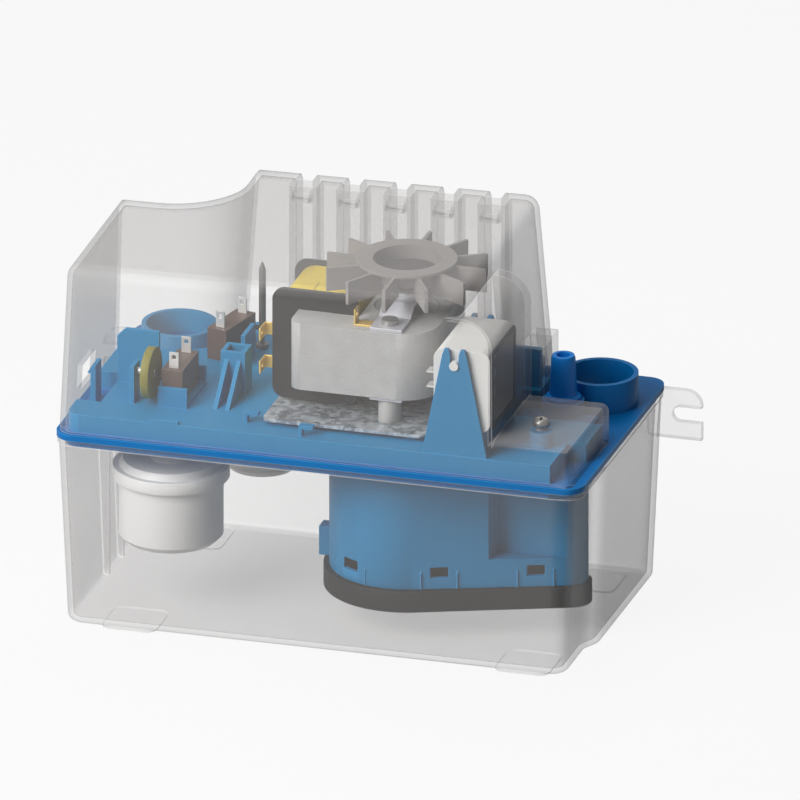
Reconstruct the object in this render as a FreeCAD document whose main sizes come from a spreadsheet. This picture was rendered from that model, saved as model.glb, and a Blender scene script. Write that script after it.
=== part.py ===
import FreeCAD, Part
import math
import os
import Sketcher

os.makedirs("parts", exist_ok=True)
doc = FreeCAD.newDocument("condensate_pump")
sheet = doc.addObject("Spreadsheet::Sheet", "Sizes")

# Driving dimensions in millimetres.
# "from_left", "from_front" and "above" are measured from the front left corner
# of the rim's underside, as someone with a ruler would measure the real pump.
SIZES = {
    # Rim of the base plate
    "rim_length": 262,
    "rim_width": 150,
    "rim_thick": 3,
    "rim_corner": 9,
    # Tank
    "tank_height": 96.5,
    "tank_wall": 2.6,
    "tank_inset_top": 0.8,
    "tank_inset_floor": 4.5,
    "tank_corner": 9,
    "tank_floor_round": 4,
    "tank_step": 4.4,
    "tank_step_from_front": 45,
    "lip_height": 3,
    "lip_out": 0.5,
    "foot_height": 1,
    "foot_length": 27,
    "foot_depth": 28,
    "foot_from_left": 22,
    "foot_from_right": 18,
    "foot_from_side": 6,
    "foot_corner": 5,
    "tank_rib": 2.4,
    "tank_rib_out": 3,
    "tank_rib_first": 62,
    "tank_rib_pitch": 24,
    # Wall ears
    "ear_reach": 17.5,
    "ear_height": 25,
    "ear_thick": 3.2,
    "ear_slot": 7.5,
    "ear_slot_depth": 14.5,
    "ear_round": 8,
    "ear_drop": 0.5,
    # Deck raised on the rim, and the ring that locates it in the tank
    "deck_above": 12,
    "deck_inset": 5.2,
    "deck_notch_from_front": 24,
    "deck_notch_back": 62,
    "deck_notch_width": 12,
    "deck_end_back": 66,
    "deck_end_notch": 9,
    "deck_end_notch_back": 36,
    "deck_round": 6.5,
    "ring_depth": 4,
    "ring_wall": 1.8,
    "ring_gap": 0.5,
    "ring_corner": 7,
    # Motor cover
    "cover_inset": 1.4,
    "cover_top": 88,
    "cover_rise": 4.6,
    "cover_tilt": 2.2,
    "cover_lean_left": 4.5,
    "cover_lean_right": 8,
    "cover_shoulder_wide": 15,
    "cover_shoulder_drop": 4,
    "cover_wall": 2.5,
    "cover_right": 218,
    "cover_right_rear": 208.5,
    "cover_from_back": 4,
    "cover_corner": 8,
    "cover_edge": 7,
    "recess_radius": 26,
    "recess_lean": 7,
    "recess_beyond": 15,
    "cover_foot_back": 68,
    "cover_foot_from_right": 4.5,
    "cover_foot_top": 22.5,
    "cover_foot_round": 4,
    "bulge_right": 217,
    "bulge_front": 93,
    "bulge_back": 117,
    "bulge_top": 36,
    "catch_front": 35,
    "catch_back": 57,
    "catch_low": 13,
    "catch_high": 25,
    "flute_first": 86,
    "flute_pitch": 23.4,
    "flute_width": 8.5,
    "flute_deep": 13,
    "flute_low": 18,
    "flute_count": 5,
    # Drain inlets and outlet
    "left_inlet_from_left": 26,
    "left_inlet_from_back": 23,
    "left_inlet_radius": 18.2,
    "left_inlet_top": 14,
    "right_inlet_from_left": 239.1,
    "right_inlet_from_back": 37.2,
    "right_inlet_radius": 18.2,
    "right_inlet_top": 18.5,
    "inlet_wall": 2.2,
    "outlet_from_left": 228,
    "outlet_from_front": 88,
    "outlet_boss_radius": 10,
    "outlet_boss_top": 13,
    "chamber_radius": 7,
    "chamber_floor": 5,
    "valve_port": 3,
    "valve_ball": 4.2,
    "valve_rest_gap": 0.15,
    "spigot_top": 35.5,
    "spigot_base_radius": 6.6,
    "spigot_tip_radius": 5.8,
    "spigot_bore": 3.3,
    "spigot_flange": 8.5,
    "spigot_flange_thick": 1.6,
    "spigot_plug": 3.2,
    "spigot_fit": 0.1,
    # Cover screw and its pillar
    "screw_from_left": 234,
    "screw_from_front": 30,
    "screw_head": 4,
    "screw_head_high": 3.2,
    "screw_shank": 1.9,
    "screw_hole": 2.2,
    "screw_pilot": 1.9,
    "screw_length": 14,
    "pillar_radius": 5.6,
    # Motor
    "motor_from_left": 158,
    "motor_from_front": 62,
    "plate_left": 99,
    "plate_right": 180,
    "plate_front": 17,
    "plate_back": 107,
    "plate_above": 14,
    "plate_thick": 1.5,
    "plate_pad_radius": 5,
    "stack_left": 110,
    "stack_right": 180,
    "stack_front": 25,
    "stack_back": 99,
    "stack_low": 29,
    "stack_high": 63,
    "stack_round": 17,
    "stack_arm": 17,
    "limb_width": 16,
    "rotor_bore": 15.6,
    "rotor_radius": 15.1,
    "shaft_radius": 3,
    "bush_fit": 0.05,
    "bush_outer": 5.5,
    "bush_height": 8,
    "bracket_thick": 1.6,
    "bracket_width": 16,
    "bracket_rise": 7,
    "bracket_cup": 9.5,
    "post_radius": 5.5,
    "post_from_end": 8,
    "flange_left": 97,
    "flange_right": 139.5,
    "flange_low": 17,
    "flange_high": 73,
    "flange_thick": 2,
    "flange_round": 6,
    "tube_wall": 1.2,
    "winding_inset": 2.2,
    "winding_round": 9,
    # Fan
    "fan_top": 87.4,
    "fan_ring": 24.1,
    "fan_eye": 16.2,
    "fan_tip": 39.5,
    "fan_low": 74.2,
    "fan_floor": 79,
    "fan_boss": 4,
    "fan_skin": 1.6,
    "fan_blades": 12,
    "fan_blade_thick": 1.8,
    "fan_hub": 6.5,
    # Pump below the base plate
    "housing_radius": 37.1,
    "housing_end_radius": 8.8,
    "housing_end_from_right": 23,
    "housing_wall": 2.4,
    "step_from_motor": 47,
    "step_above_floor": 14.4,
    "lug_out": 5.5,
    "lug_wide": 8,
    "lug_high": 15,
    "housing_depth": 68.4,
    "base_radius": 39.8,
    "base_end_radius": 10.5,
    "base_depth": 10.6,
    "base_floor": 2.4,
    "volute_radius": 27,
    "volute_channel": 8,
    "strainer_eye": 8,
    "volute_plate_thick": 2.4,
    "volute_plate_gap": 0.2,
    "impeller_radius": 22,
    "impeller_high": 6.2,
    "impeller_gap": 0.8,
    "impeller_web": 1.6,
    "impeller_blades": 6,
    "impeller_blade_thick": 1.8,
    "shaft_clear": 0.6,
    "seal_radius": 7,
    "seal_high": 3,
    "tube_radius": 5,
    "tube_bore": 3.6,
    "duct_half": 5,
    "duct_deep": 1.8,
    "duct_cover_thick": 1.6,
    "duct_cover_edge": 2.5,
    # Floats
    "main_float_from_left": 48,
    "main_float_from_front": 38,
    "main_float_radius": 25,
    "main_float_rim": 28,
    "main_float_low": 59,
    "main_float_high": 38,
    "float_cone": 6,
    "float_step": 3,
    "main_float_hub": 8,
    "alarm_float_hub": 6,
    "main_rod_from_left": 36,
    "main_rod_from_front": 46,
    "main_rod_top": 26,
    "rod_collar": 3,
    "rod_collar_thick": 2,
    "rod_rest_gap": 0.3,
    "alarm_float_from_left": 71.5,
    "alarm_float_from_back": 38,
    "alarm_float_radius": 19,
    "alarm_float_low": 48,
    "alarm_float_high": 26,
    "alarm_rod_top": 56,
    "alarm_rod_head": 1.7,
    "alarm_rod_thin": 1.1,
    "alarm_rod_shoulder": 18,
    "rod_radius": 1.5,
    "rod_clear": 0.5,
    # Switches
    "switch_length": 27.8,
    "switch_width": 10.3,
    "switch_height": 15.9,
    "main_switch_from_left": 51,
    "main_switch_from_front": 43,
    "main_switch_low": 14,
    "alarm_switch_from_left": 58.5,
    "alarm_switch_from_back": 46,
    "alarm_switch_turn": 14,
    "plunger_radius": 1.2,
    "plunger_fit": 0.05,
    "plunger_above": 22,
    "plunger_gap": 0.4,
    "tab_width": 4.8,
    "tab_thick": 0.8,
    "tab_high": 8,
    "cam_radius": 12.5,
    "cam_thick": 4,
    "cam_from_left": 40,
    "cam_from_front": 31,
    "cam_above": 27,
    "cam_pin": 2,
    "cam_arm": 17,
    "cam_arm_thick": 4,
    "cam_arm_gap": 0.5,
    "cam_stand_thick": 2,
    "holder_wall": 2,
    "switch_hole": 1.6,
    "switch_hole_in": 3.2,
    "switch_skirt": 3,
    "hook_left": 7,
    "hook_thick": 2.5,
    "hook_nose": 1.6,
    "hook_top": 23,
    "hook_step": 4,
    "hook_front": 41,
    "hook_back": 51,
    "wire_box_left": 69,
    "wire_box_front": 50,
    "wire_box_side": 12,
    "wire_box_top": 34,
    "gusset_reach": 20,
    "gusset_top": 30,
    "first_clip_left": 90,
    "first_clip_front": 18,
    "second_clip_left": 120,
    "second_clip_front": 8,
    "clip_long": 7,
    "clip_wide": 4,
    "clip_high": 5.6,
    "clip_thick": 1.6,
    "stop_left": 47,
    "stop_long": 14,
    "stop_high": 1.8,
    # Connector posts, box and blades
    "post_front": 5.5,
    "post_thick": 2.5,
    "post_left": 182,
    "post_right": 214,
    "post_head_left": 192,
    "post_head_right": 204,
    "post_top": 66,
    "post_rear": 52,
    "pin_radius": 2.2,
    "pin_above": 58,
    "box_left": 187,
    "box_right": 215,
    "box_gap": 0.3,
    "box_low": 24,
    "box_top": 65,
    "pin_sunk": 2,
    "box_round": 5,
    "blade_width": 6.3,
    "blade_thick": 0.8,
    "earth_left": 141,
    "earth_long": 8.5,
    "earth_front": 30,
    "earth_high": 8,
    "blade_out": 6.4,
    "coil_tab_out": 4,
    "coil_tab_long": 9,
    "coil_tab_low": 31.5,
    "coil_tab_high": 48.4,
    "rear_wall_from_front": 100,
    "rear_wall_left": 199,
    "rear_wall_right": 213.3,
    "rear_wall_top": 32,
    "notch_half": 3,
    "notch_deep": 12,
    "box_wall": 3,
    "box_pocket": 16,
    "box_bar": 4,
    "box_bar_pitch": 9,
    "blade_low": 40.5,
    "blade_high": 48,
    "blade_front": 18,
    "blade_rear": 35,
    "blade_hole": 1.1,
    "motor_screw": 2,
    "motor_screw_hole": 2.3,
    "motor_screw_head": 4,
    "motor_screw_head_high": 2.6,
    "window_wide": 8,
    "window_high": 5.5,
    "window_low": 62.8,
    "strainer_radius": 14,
    "strainer_high": 6,
    "strainer_wall": 1.8,
    "strainer_slots": 10,
    "strainer_slot": 3,
}


class Size:
    """A size: its value now, and the words that tie it to the sheet."""

    def __init__(self, value, text):
        self.value = value
        self.text = text

    def __add__(self, other):
        other = size_of(other)
        return Size(self.value + other.value, f"({self.text} + {other.text})")

    def __sub__(self, other):
        other = size_of(other)
        return Size(self.value - other.value, f"({self.text} - {other.text})")

    def __mul__(self, other):
        other = size_of(other)
        return Size(self.value * other.value, f"({self.text} * {other.text})")

    def __truediv__(self, other):
        other = size_of(other)
        return Size(self.value / other.value, f"({self.text} / {other.text})")

    def __radd__(self, other):
        return size_of(other) + self

    def __rsub__(self, other):
        return size_of(other) - self

    def __rmul__(self, other):
        return size_of(other) * self

    def __neg__(self):
        return Size(-self.value, f"(0 - {self.text})")


def size_of(number):
    """A plain number takes part in the same sums as a size."""
    if isinstance(number, Size):
        return number
    return Size(float(number), f"{float(number):.6g}")


class Named:
    """Every size of the sheet, read by its name."""

    def __init__(self, table):
        for row, (name, value) in enumerate(table.items(), 1):
            sheet.set(f"A{row}", name)
            sheet.set(f"B{row}", str(value))
            sheet.setAlias(f"B{row}", name)
            setattr(self, name, Size(value, f"Sizes.{name}"))


s = Named(SIZES)
doc.recompute()
NODES = []

# Places that follow the rim's right end and its rear edge
cover_back = s.rim_width - s.cover_from_back
cover_foot_right = s.rim_length - s.cover_foot_from_right
left_inlet_y = s.rim_width - s.left_inlet_from_back
right_inlet_y = s.rim_width - s.right_inlet_from_back
alarm_float_y = s.rim_width - s.alarm_float_from_back
alarm_switch_y = s.rim_width - s.alarm_switch_from_back
tube_x = s.rim_length - s.housing_end_from_right
end_reach = tube_x - s.motor_from_left


def bind(thing, path, size):
    """Tie a property to the sheet, so that it follows the size."""
    thing.setExpression(path, size_of(size).text)


def place(thing, across, back, up):
    """Stand a piece in the pump's frame, from the rim's front left corner."""
    bind(thing, "Placement.Base.x", across - s.rim_length / 2)
    bind(thing, "Placement.Base.y", back - s.rim_width / 2)
    bind(thing, "Placement.Base.z", up + s.tank_height)


def new_body(label, across=0, back=0, up=0):
    """An empty body whose own zero lies at the given place of the rim's frame."""
    body = doc.addObject("PartDesign::Body", label)
    body.Label = label
    place(body, size_of(across), size_of(back), size_of(up))
    return body


def node(thing, name):
    """Mark a finished piece as a node of its own."""
    thing.Label = name
    NODES.append(thing)
    return thing


class Drawing:
    """A sketch on one of a body's own planes, drawn in closed outlines."""

    def __init__(self, body, plane="XY_Plane", height=0):
        self.sketch = body.newObject("Sketcher::SketchObject", body.Name + "_sketch")
        planes = [f for f in body.Origin.OriginFeatures if f.Role == plane]
        self.sketch.AttachmentSupport = (planes[0], [""])
        self.sketch.MapMode = "FlatFace"
        bind(self.sketch, "AttachmentOffset.Base.z", height)

    def hold(self, rules):
        """Add constraints and tie each one that has a size to the sheet."""
        for rule in rules:
            kind, places, size = rule[0], rule[1:-1], rule[-1]
            if isinstance(size, Size):
                number = self.sketch.addConstraint(
                    Sketcher.Constraint(kind, *places, size.value))
                self.sketch.setExpression(f"Constraints[{number}]", size.text)
            else:
                self.sketch.addConstraint(Sketcher.Constraint(*rule))

    def pin(self, shape, corner, u, v):
        """Hold one point by its distances from the sketch's own zero."""
        rules = []
        for kind, axis, size in (("DistanceX", -2, u), ("DistanceY", -1, v)):
            if abs(size.value) < 1e-9:
                rules.append(("PointOnObject", shape, corner, axis))
            else:
                rules.append((kind, -1, 1, shape, corner, size))
        self.hold(rules)

    def polygon(self, points):
        points = [(size_of(u), size_of(v)) for u, v in points]
        spots = [FreeCAD.Vector(u.value, v.value, 0) for u, v in points]
        lines = [self.sketch.addGeometry(Part.LineSegment(start, end))
                 for start, end in zip(spots, spots[1:] + spots[:1])]
        for line, following in zip(lines, lines[1:] + lines[:1]):
            self.hold([("Coincident", line, 2, following, 1)])
        for line, (u, v) in zip(lines, points):
            self.pin(line, 1, u, v)
        return self

    def rectangle(self, left, low, right, high):
        return self.polygon([(left, low), (right, low), (right, high), (left, high)])

    def circle(self, u, v, radius):
        u, v, radius = size_of(u), size_of(v), size_of(radius)
        ring = Part.Circle(FreeCAD.Vector(u.value, v.value, 0),
                           FreeCAD.Vector(0, 0, 1), radius.value)
        shape = self.sketch.addGeometry(ring)
        self.hold([("Radius", shape, radius)])
        self.pin(shape, 3, u, v)
        return self

    def arc(self, u, v, radius, start, end):
        ring = Part.Circle(FreeCAD.Vector(u, v, 0), FreeCAD.Vector(0, 0, 1), radius)
        return self.sketch.addGeometry(
            Part.ArcOfCircle(ring, math.radians(start), math.radians(end)))

    def line(self, start, end):
        return self.sketch.addGeometry(
            Part.LineSegment(FreeCAD.Vector(*start, 0), FreeCAD.Vector(*end, 0)))

    def rounded(self, left, low, right, high, radius):
        """A rectangle whose four corners are arcs of one radius."""
        left, low, right, high, radius = [
            size_of(size) for size in (left, low, right, high, radius)]
        x0, y0, x1, y1, r = left.value, low.value, right.value, high.value, radius.value
        sides = [self.line((x0 + r, y0), (x1 - r, y0)), self.line((x1, y0 + r), (x1, y1 - r)),
                 self.line((x1 - r, y1), (x0 + r, y1)), self.line((x0, y1 - r), (x0, y0 + r))]
        turns = [self.arc(x1 - r, y0 + r, r, -90, 0), self.arc(x1 - r, y1 - r, r, 0, 90),
                 self.arc(x0 + r, y1 - r, r, 90, 180), self.arc(x0 + r, y0 + r, r, 180, 270)]
        for side, turn, following in zip(sides, turns, sides[1:] + sides[:1]):
            self.hold([("Tangent", side, 2, turn, 1), ("Tangent", turn, 2, following, 1)])
        self.hold([("Horizontal", sides[0]), ("Vertical", sides[1]),
                   ("Horizontal", sides[2]), ("Vertical", sides[3])])
        self.hold([("Equal", turns[0], turn) for turn in turns[1:]])
        self.hold([("Radius", turns[0], radius)])
        for kind, side, size in (("DistanceY", 0, low), ("DistanceX", 1, right),
                                 ("DistanceY", 2, high), ("DistanceX", 3, left)):
            if abs(size.value) < 1e-9:
                axis = -2 if kind == "DistanceX" else -1
                self.hold([("PointOnObject", sides[side], 1, axis)])
            else:
                self.hold([(kind, -1, 1, sides[side], 1, size)])
        return self

    def nook(self, u, v, radius, left, high):
        """The outline of a corner round a point: two far sides and a quarter arc."""
        u, v, radius, left, high = [size_of(size) for size in (u, v, radius, left, high)]
        x, y, r, x0, y1 = u.value, v.value, radius.value, left.value, high.value
        low = self.line((x0, y - r), (x, y - r))
        bend = self.arc(x, y, r, -90, 0)
        near = self.line((x + r, y), (x + r, y1))
        top = self.line((x + r, y1), (x0, y1))
        far = self.line((x0, y1), (x0, y - r))
        self.hold([("Tangent", low, 2, bend, 1), ("Tangent", bend, 2, near, 1),
                   ("Coincident", near, 2, top, 1), ("Coincident", top, 2, far, 1),
                   ("Coincident", far, 2, low, 1), ("Horizontal", low), ("Vertical", near),
                   ("Horizontal", top), ("Vertical", far), ("Radius", bend, radius)])
        self.pin(bend, 3, u, v)
        self.pin(top, 2, left, high)
        return self

    def tip_back(self, rise, over):
        """Lean the drawing's plane, so that what it cuts rises towards the back."""
        self.sketch.AttachmentOffset = FreeCAD.Placement(
            self.sketch.AttachmentOffset.Base,
            FreeCAD.Rotation(FreeCAD.Vector(1, 0, 0),
                             math.degrees(math.atan(rise.value / over.value))))
        return self

    def teardrop(self, big, small, reach):
        """Two circles a reach apart, joined by their common tangents."""
        big, small, reach = size_of(big), size_of(small), size_of(reach)
        lean = math.degrees(math.acos((big.value - small.value) / reach.value))
        run, rise = math.cos(math.radians(lean)), math.sin(math.radians(lean))
        near = [(big.value * run, side * big.value * rise) for side in (1, -1)]
        far = [(reach.value + small.value * run, side * small.value * rise) for side in (1, -1)]
        end = self.arc(reach.value, 0, small.value, -lean, lean)
        top = self.line(far[0], near[0])
        drum = self.arc(0, 0, big.value, lean, 360 - lean)
        bottom = self.line(near[1], far[1])
        ring = [end, top, drum, bottom]
        for shape, following in zip(ring, ring[1:] + ring[:1]):
            self.hold([("Tangent", shape, 2, following, 1)])
        self.hold([("Coincident", drum, 3, -1, 1), ("PointOnObject", end, 3, -1),
                   ("DistanceX", -1, 1, end, 3, reach), ("Radius", drum, big),
                   ("Radius", end, small)])
        return self


def feature(body, kind, drawing, length=None, **settings):
    """Raise or cut one drawing of a body."""
    made = body.newObject(f"PartDesign::{kind}", f"{body.Name}_{kind}")
    made.Profile = drawing.sketch
    for name, value in settings.items():
        setattr(made, name, value)
    if length is not None:
        bind(made, "Length", length)
    drawing.sketch.Visibility = False
    body.Tip = made
    return made


def pad(body, drawing, length, **settings):
    return feature(body, "Pad", drawing, length, **settings)


def pocket(body, drawing, length, **settings):
    return feature(body, "Pocket", drawing, length, **settings)


def turn(body, drawing, kind="Revolution"):
    """Turn a drawing on the upright plane round the upright axis."""
    return feature(body, kind, drawing, ReferenceAxis=(drawing.sketch, ["V_Axis"]))


def round_off(body, radius, wanted, kind="Fillet"):
    """Round the edges that the test picks out."""
    doc.recompute()
    base = body.Tip
    names = [f"Edge{number}" for number, edge in enumerate(base.Shape.Edges, 1)
             if wanted(edge)]
    made = body.newObject(f"PartDesign::{kind}", f"{body.Name}_{kind}")
    made.Base = (base, names)
    bind(made, "Radius" if kind == "Fillet" else "Size", radius)
    body.Tip = made
    return made


def is_upright(edge):
    """True for a straight edge that mostly rises."""
    if len(edge.Vertexes) != 2:
        return False
    run = edge.Vertexes[1].Point - edge.Vertexes[0].Point
    return run.Length > 1e-6 and abs(run.z) > 0.9 * run.Length


def is_level(edge, height):
    """True for an edge that lies at one height."""
    return all(abs(vertex.Z - height) < 1e-4 for vertex in edge.Vertexes)


def spot(edge):
    return edge.CenterOfMass


def around(body, made, count):
    """Repeat a feature round the body's upright axis."""
    pattern = body.newObject("PartDesign::PolarPattern", f"{body.Name}_pattern")
    pattern.Originals = [made]
    upright = [f for f in body.Origin.OriginFeatures if f.Role == "Z_Axis"]
    pattern.Axis = (upright[0], [""])
    pattern.Angle = 360
    bind(pattern, "Occurrences", count)
    body.Tip = pattern
    return pattern


def joined(kind, name, first, second):
    """Cut or fuse two bodies into one piece."""
    made = doc.addObject(f"Part::{kind}", name)
    if kind == "Cut":
        made.Base, made.Tool = first, second
    else:
        made.Shapes = [first, second]
    return made


# Tank


def tank_form(label, offset):
    """The tank's outer form, or with an offset the form of its inside."""
    body = new_body(label, 0, 0, -s.tank_height)
    floor = s.foot_height + offset

    inset = s.tank_inset_floor + offset
    right = s.rim_length - inset
    step = s.tank_step_from_front
    outline = Drawing(body, height=floor)
    outline.polygon([
        (inset, inset), (right - s.tank_step, inset), (right - s.tank_step, step - s.tank_step),
        (right, step + s.tank_step), (right, s.rim_width - inset), (inset, s.rim_width - inset)])
    walls = pad(body, outline, s.tank_height - floor)
    lean = (s.tank_inset_floor - s.tank_inset_top) / s.tank_height
    walls.setExpression("TaperAngle", f"atan({lean.text})")
    middle = s.tank_step_from_front.value
    round_off(body, s.tank_corner - offset,
              lambda edge: is_upright(edge) and abs(spot(edge).y - middle) > 20)
    round_off(body, s.tank_corner + offset,
              lambda edge: is_upright(edge) and abs(spot(edge).y - middle) < 10)
    round_off(body, s.tank_floor_round - offset, lambda edge: is_level(edge, floor.value))
    return body


outside = tank_form("tank_outside", size_of(0))

lip = Drawing(outside, height=s.tank_height)
lip.rounded(s.tank_inset_top - s.lip_out, s.tank_inset_top - s.lip_out,
            s.rim_length - s.tank_inset_top + s.lip_out,
            s.rim_width - s.tank_inset_top + s.lip_out, s.tank_corner)
pad(outside, lip, s.lip_height, Reversed=True)

feet = Drawing(outside)
for foot_left in (s.foot_from_left, s.rim_length - s.foot_from_right - s.foot_length):
    for foot_front in (s.foot_from_side, s.rim_width - s.foot_from_side - s.foot_depth):
        feet.rounded(foot_left, foot_front, foot_left + s.foot_length,
                     foot_front + s.foot_depth, s.foot_corner)
pad(outside, feet, s.foot_height + s.tank_wall / 2)

ear_top = s.tank_height - s.ear_drop
for side in (-1, 1):
    root = s.tank_inset_top + s.tank_corner
    tip = -s.ear_reach
    if side == 1:
        root, tip = s.rim_length - root, s.rim_length - tip
    ear = Drawing(outside, "XZ_Plane", -(s.rim_width - s.tank_inset_top))
    ear.polygon([(root, ear_top - s.ear_height), (tip, ear_top - s.ear_height),
                 (tip, ear_top), (root, ear_top)])
    pad(outside, ear, s.ear_thick)
    round_off(outside, s.ear_round, lambda edge: all(
        abs(vertex.X - tip.value) < 1e-4 and abs(vertex.Z - ear_top.value) < 1e-4
        for vertex in edge.Vertexes))
    slot_end = tip - side * (s.ear_slot_depth - s.ear_slot / 2)
    slot_low = ear_top - s.ear_height / 2 - s.ear_slot / 2
    slot = Drawing(outside, "XZ_Plane", -(s.rim_width - s.tank_inset_top) + s.ear_thick)
    slot.rectangle(slot_end, slot_low, tip + side, slot_low + s.ear_slot)
    pocket(outside, slot, s.ear_thick)
    slot_round = Drawing(outside, "XZ_Plane",
                         -(s.rim_width - s.tank_inset_top) + s.ear_thick)
    slot_round.circle(slot_end, slot_low + s.ear_slot / 2, s.ear_slot / 2)
    pocket(outside, slot_round, s.ear_thick)

inside = tank_form("tank_inside", s.tank_wall)
ribs = Drawing(inside, height=s.tank_height - s.ring_depth * 2)
for number in range(2):
    rib_front = s.tank_rib_first + number * s.tank_rib_pitch
    ribs.rectangle(0, rib_front, s.tank_inset_floor + s.tank_wall + s.tank_rib_out,
                   rib_front + s.tank_rib)
pocket(inside, ribs, s.tank_height - s.ring_depth * 2)
tank = node(joined("Cut", "tank", outside, inside), "tank")

# Base plate: rim, deck, inlet collars, outlet boss, switch walls, connector posts

plate = new_body("base_plate")
pad(plate, Drawing(plate).rounded(0, 0, s.rim_length, s.rim_width, s.rim_corner), s.rim_thick)

ring_reach = s.tank_inset_top + s.tank_wall + s.ring_gap
ring = Drawing(plate)
ring_right = s.rim_length - ring_reach
ring.rounded(ring_reach, ring_reach, ring_right, s.rim_width - ring_reach, s.ring_corner)
ring.rounded(ring_reach + s.ring_wall, ring_reach + s.ring_wall, ring_right - s.ring_wall,
             s.rim_width - ring_reach - s.ring_wall, s.ring_corner - s.ring_wall)
pad(plate, ring, s.ring_depth, Reversed=True)
ring_gate = Drawing(plate)
ring_gate.rectangle(ring_right - s.tank_step * 3, ring_reach - 1, ring_right + 1,
                    s.tank_step_from_front + s.tank_step * 2)
pocket(plate, ring_gate, s.ring_depth)

deck_right = cover_foot_right - s.cover_wall - s.ring_gap
deck_back = cover_back - s.cover_wall - s.ring_gap
wall_run = s.cover_lean_right * (s.deck_above / s.cover_top)
rear_right = s.cover_right_rear - s.cover_wall - s.ring_gap - wall_run
notch_left = deck_right - s.deck_end_notch
deck = Drawing(plate, height=s.rim_thick)
deck.polygon([
    (s.deck_inset, s.deck_inset), (notch_left, s.deck_inset),
    (notch_left, s.deck_end_notch_back), (deck_right, s.deck_end_notch_back),
    (deck_right, s.deck_end_back - s.cover_wall), (rear_right, s.deck_end_back - s.cover_wall),
    (rear_right, deck_back), (s.deck_inset, deck_back),
    (s.deck_inset, s.deck_notch_back), (s.deck_inset + s.deck_notch_width, s.deck_notch_back),
    (s.deck_inset + s.deck_notch_width, s.deck_notch_from_front),
    (s.deck_inset, s.deck_notch_from_front)])
pad(plate, deck, s.deck_above - s.rim_thick)
bulge_deck = Drawing(plate, height=s.rim_thick)
bulge_deck.rectangle(rear_right - s.deck_round, s.bulge_front + s.cover_wall + s.ring_gap,
                     s.bulge_right - s.cover_wall - s.ring_gap,
                     s.bulge_back - s.cover_wall - s.ring_gap)
pad(plate, bulge_deck, s.deck_above - s.rim_thick)
round_off(plate, s.deck_round, lambda edge: is_upright(edge)
          and spot(edge).z > s.rim_thick.value
          and (spot(edge).y < s.deck_inset.value + 1 and spot(edge).x < s.deck_inset.value + 1
               or spot(edge).y > deck_back.value - 1 and spot(edge).x > rear_right.value - 1))

nook = Drawing(plate, height=s.deck_above)
nook_run = s.recess_lean * (s.deck_above / s.cover_top)
nook.nook(s.left_inlet_from_left, left_inlet_y,
          s.recess_radius + s.cover_wall + s.ring_gap + nook_run,
          -s.recess_beyond, s.rim_width + s.recess_beyond)
pocket(plate, nook, s.deck_above - s.rim_thick)

# The five flutes of the cover stand in notches along the deck's rear edge.
notches = Drawing(plate, height=s.deck_above)
for number in range(SIZES["flute_count"]):
    middle = s.flute_first + number * s.flute_pitch
    half = s.flute_width / 2 + s.cover_wall + s.ring_gap
    notches.rectangle(middle - half,
                      cover_back - s.flute_deep - s.cover_wall - s.ring_gap,
                      middle + half, s.rim_width)
pocket(plate, notches, s.deck_above - s.rim_thick)

hollow = Drawing(plate)
hollow.rounded(s.motor_from_left - s.housing_radius + s.housing_wall + 3,
               s.plate_front + 10, s.post_left - 10,
               s.motor_from_front + s.housing_radius - 8, size_of(8))
pocket(plate, hollow, s.deck_above - s.rim_thick * 1.5, Reversed=True)

for x, y, radius, top in (
        (s.left_inlet_from_left, left_inlet_y, s.left_inlet_radius,
         s.left_inlet_top),
        (s.right_inlet_from_left, right_inlet_y, s.right_inlet_radius,
         s.right_inlet_top)):
    pad(plate, Drawing(plate).circle(x, y, radius), top)
    bore = Drawing(plate, height=top)
    bore.circle(x, y, radius - s.inlet_wall)
    pocket(plate, bore, top + s.ring_depth)

boss = Drawing(plate)
boss.circle(s.outlet_from_left, s.outlet_from_front, s.outlet_boss_radius)
pad(plate, boss, s.outlet_boss_top)
roof_side = s.duct_half + s.duct_cover_thick
roof = Drawing(plate)
roof.polygon([
    (tube_x - roof_side, s.cover_foot_back + s.ring_gap),
    (tube_x + roof_side, s.cover_foot_back + s.ring_gap),
    (tube_x + roof_side, s.outlet_from_front), (s.outlet_from_left, s.outlet_from_front),
    (s.outlet_from_left, s.outlet_from_front - roof_side),
    (tube_x - roof_side, s.outlet_from_front - roof_side)])
pad(plate, roof, s.chamber_floor + 1)
chamber = Drawing(plate, height=s.outlet_boss_top)
chamber.circle(s.outlet_from_left, s.outlet_from_front, s.chamber_radius)
pocket(plate, chamber, s.outlet_boss_top - s.chamber_floor)
duct = Drawing(plate)
duct.polygon([
    (tube_x - s.duct_half, s.motor_from_front - s.duct_half),
    (tube_x + s.duct_half, s.motor_from_front - s.duct_half),
    (tube_x + s.duct_half, s.outlet_from_front + s.duct_half),
    (s.outlet_from_left - s.duct_half, s.outlet_from_front + s.duct_half),
    (s.outlet_from_left - s.duct_half, s.outlet_from_front - s.duct_half),
    (tube_x - s.duct_half, s.outlet_from_front - s.duct_half)])
pocket(plate, duct, s.duct_deep, Reversed=True)
port = Drawing(plate, height=s.chamber_floor)
port.circle(s.outlet_from_left, s.outlet_from_front, s.valve_port)
pocket(plate, port, s.chamber_floor)

pillar = Drawing(plate, height=s.deck_above)
pillar.circle(s.screw_from_left, s.screw_from_front, s.pillar_radius)
pillar_top = s.cover_foot_top - s.cover_wall
pad(plate, pillar, pillar_top - s.deck_above)
pilot = Drawing(plate, height=pillar_top)
pilot.circle(s.screw_from_left, s.screw_from_front, s.screw_pilot)
pocket(plate, pilot, s.screw_length)

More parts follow.
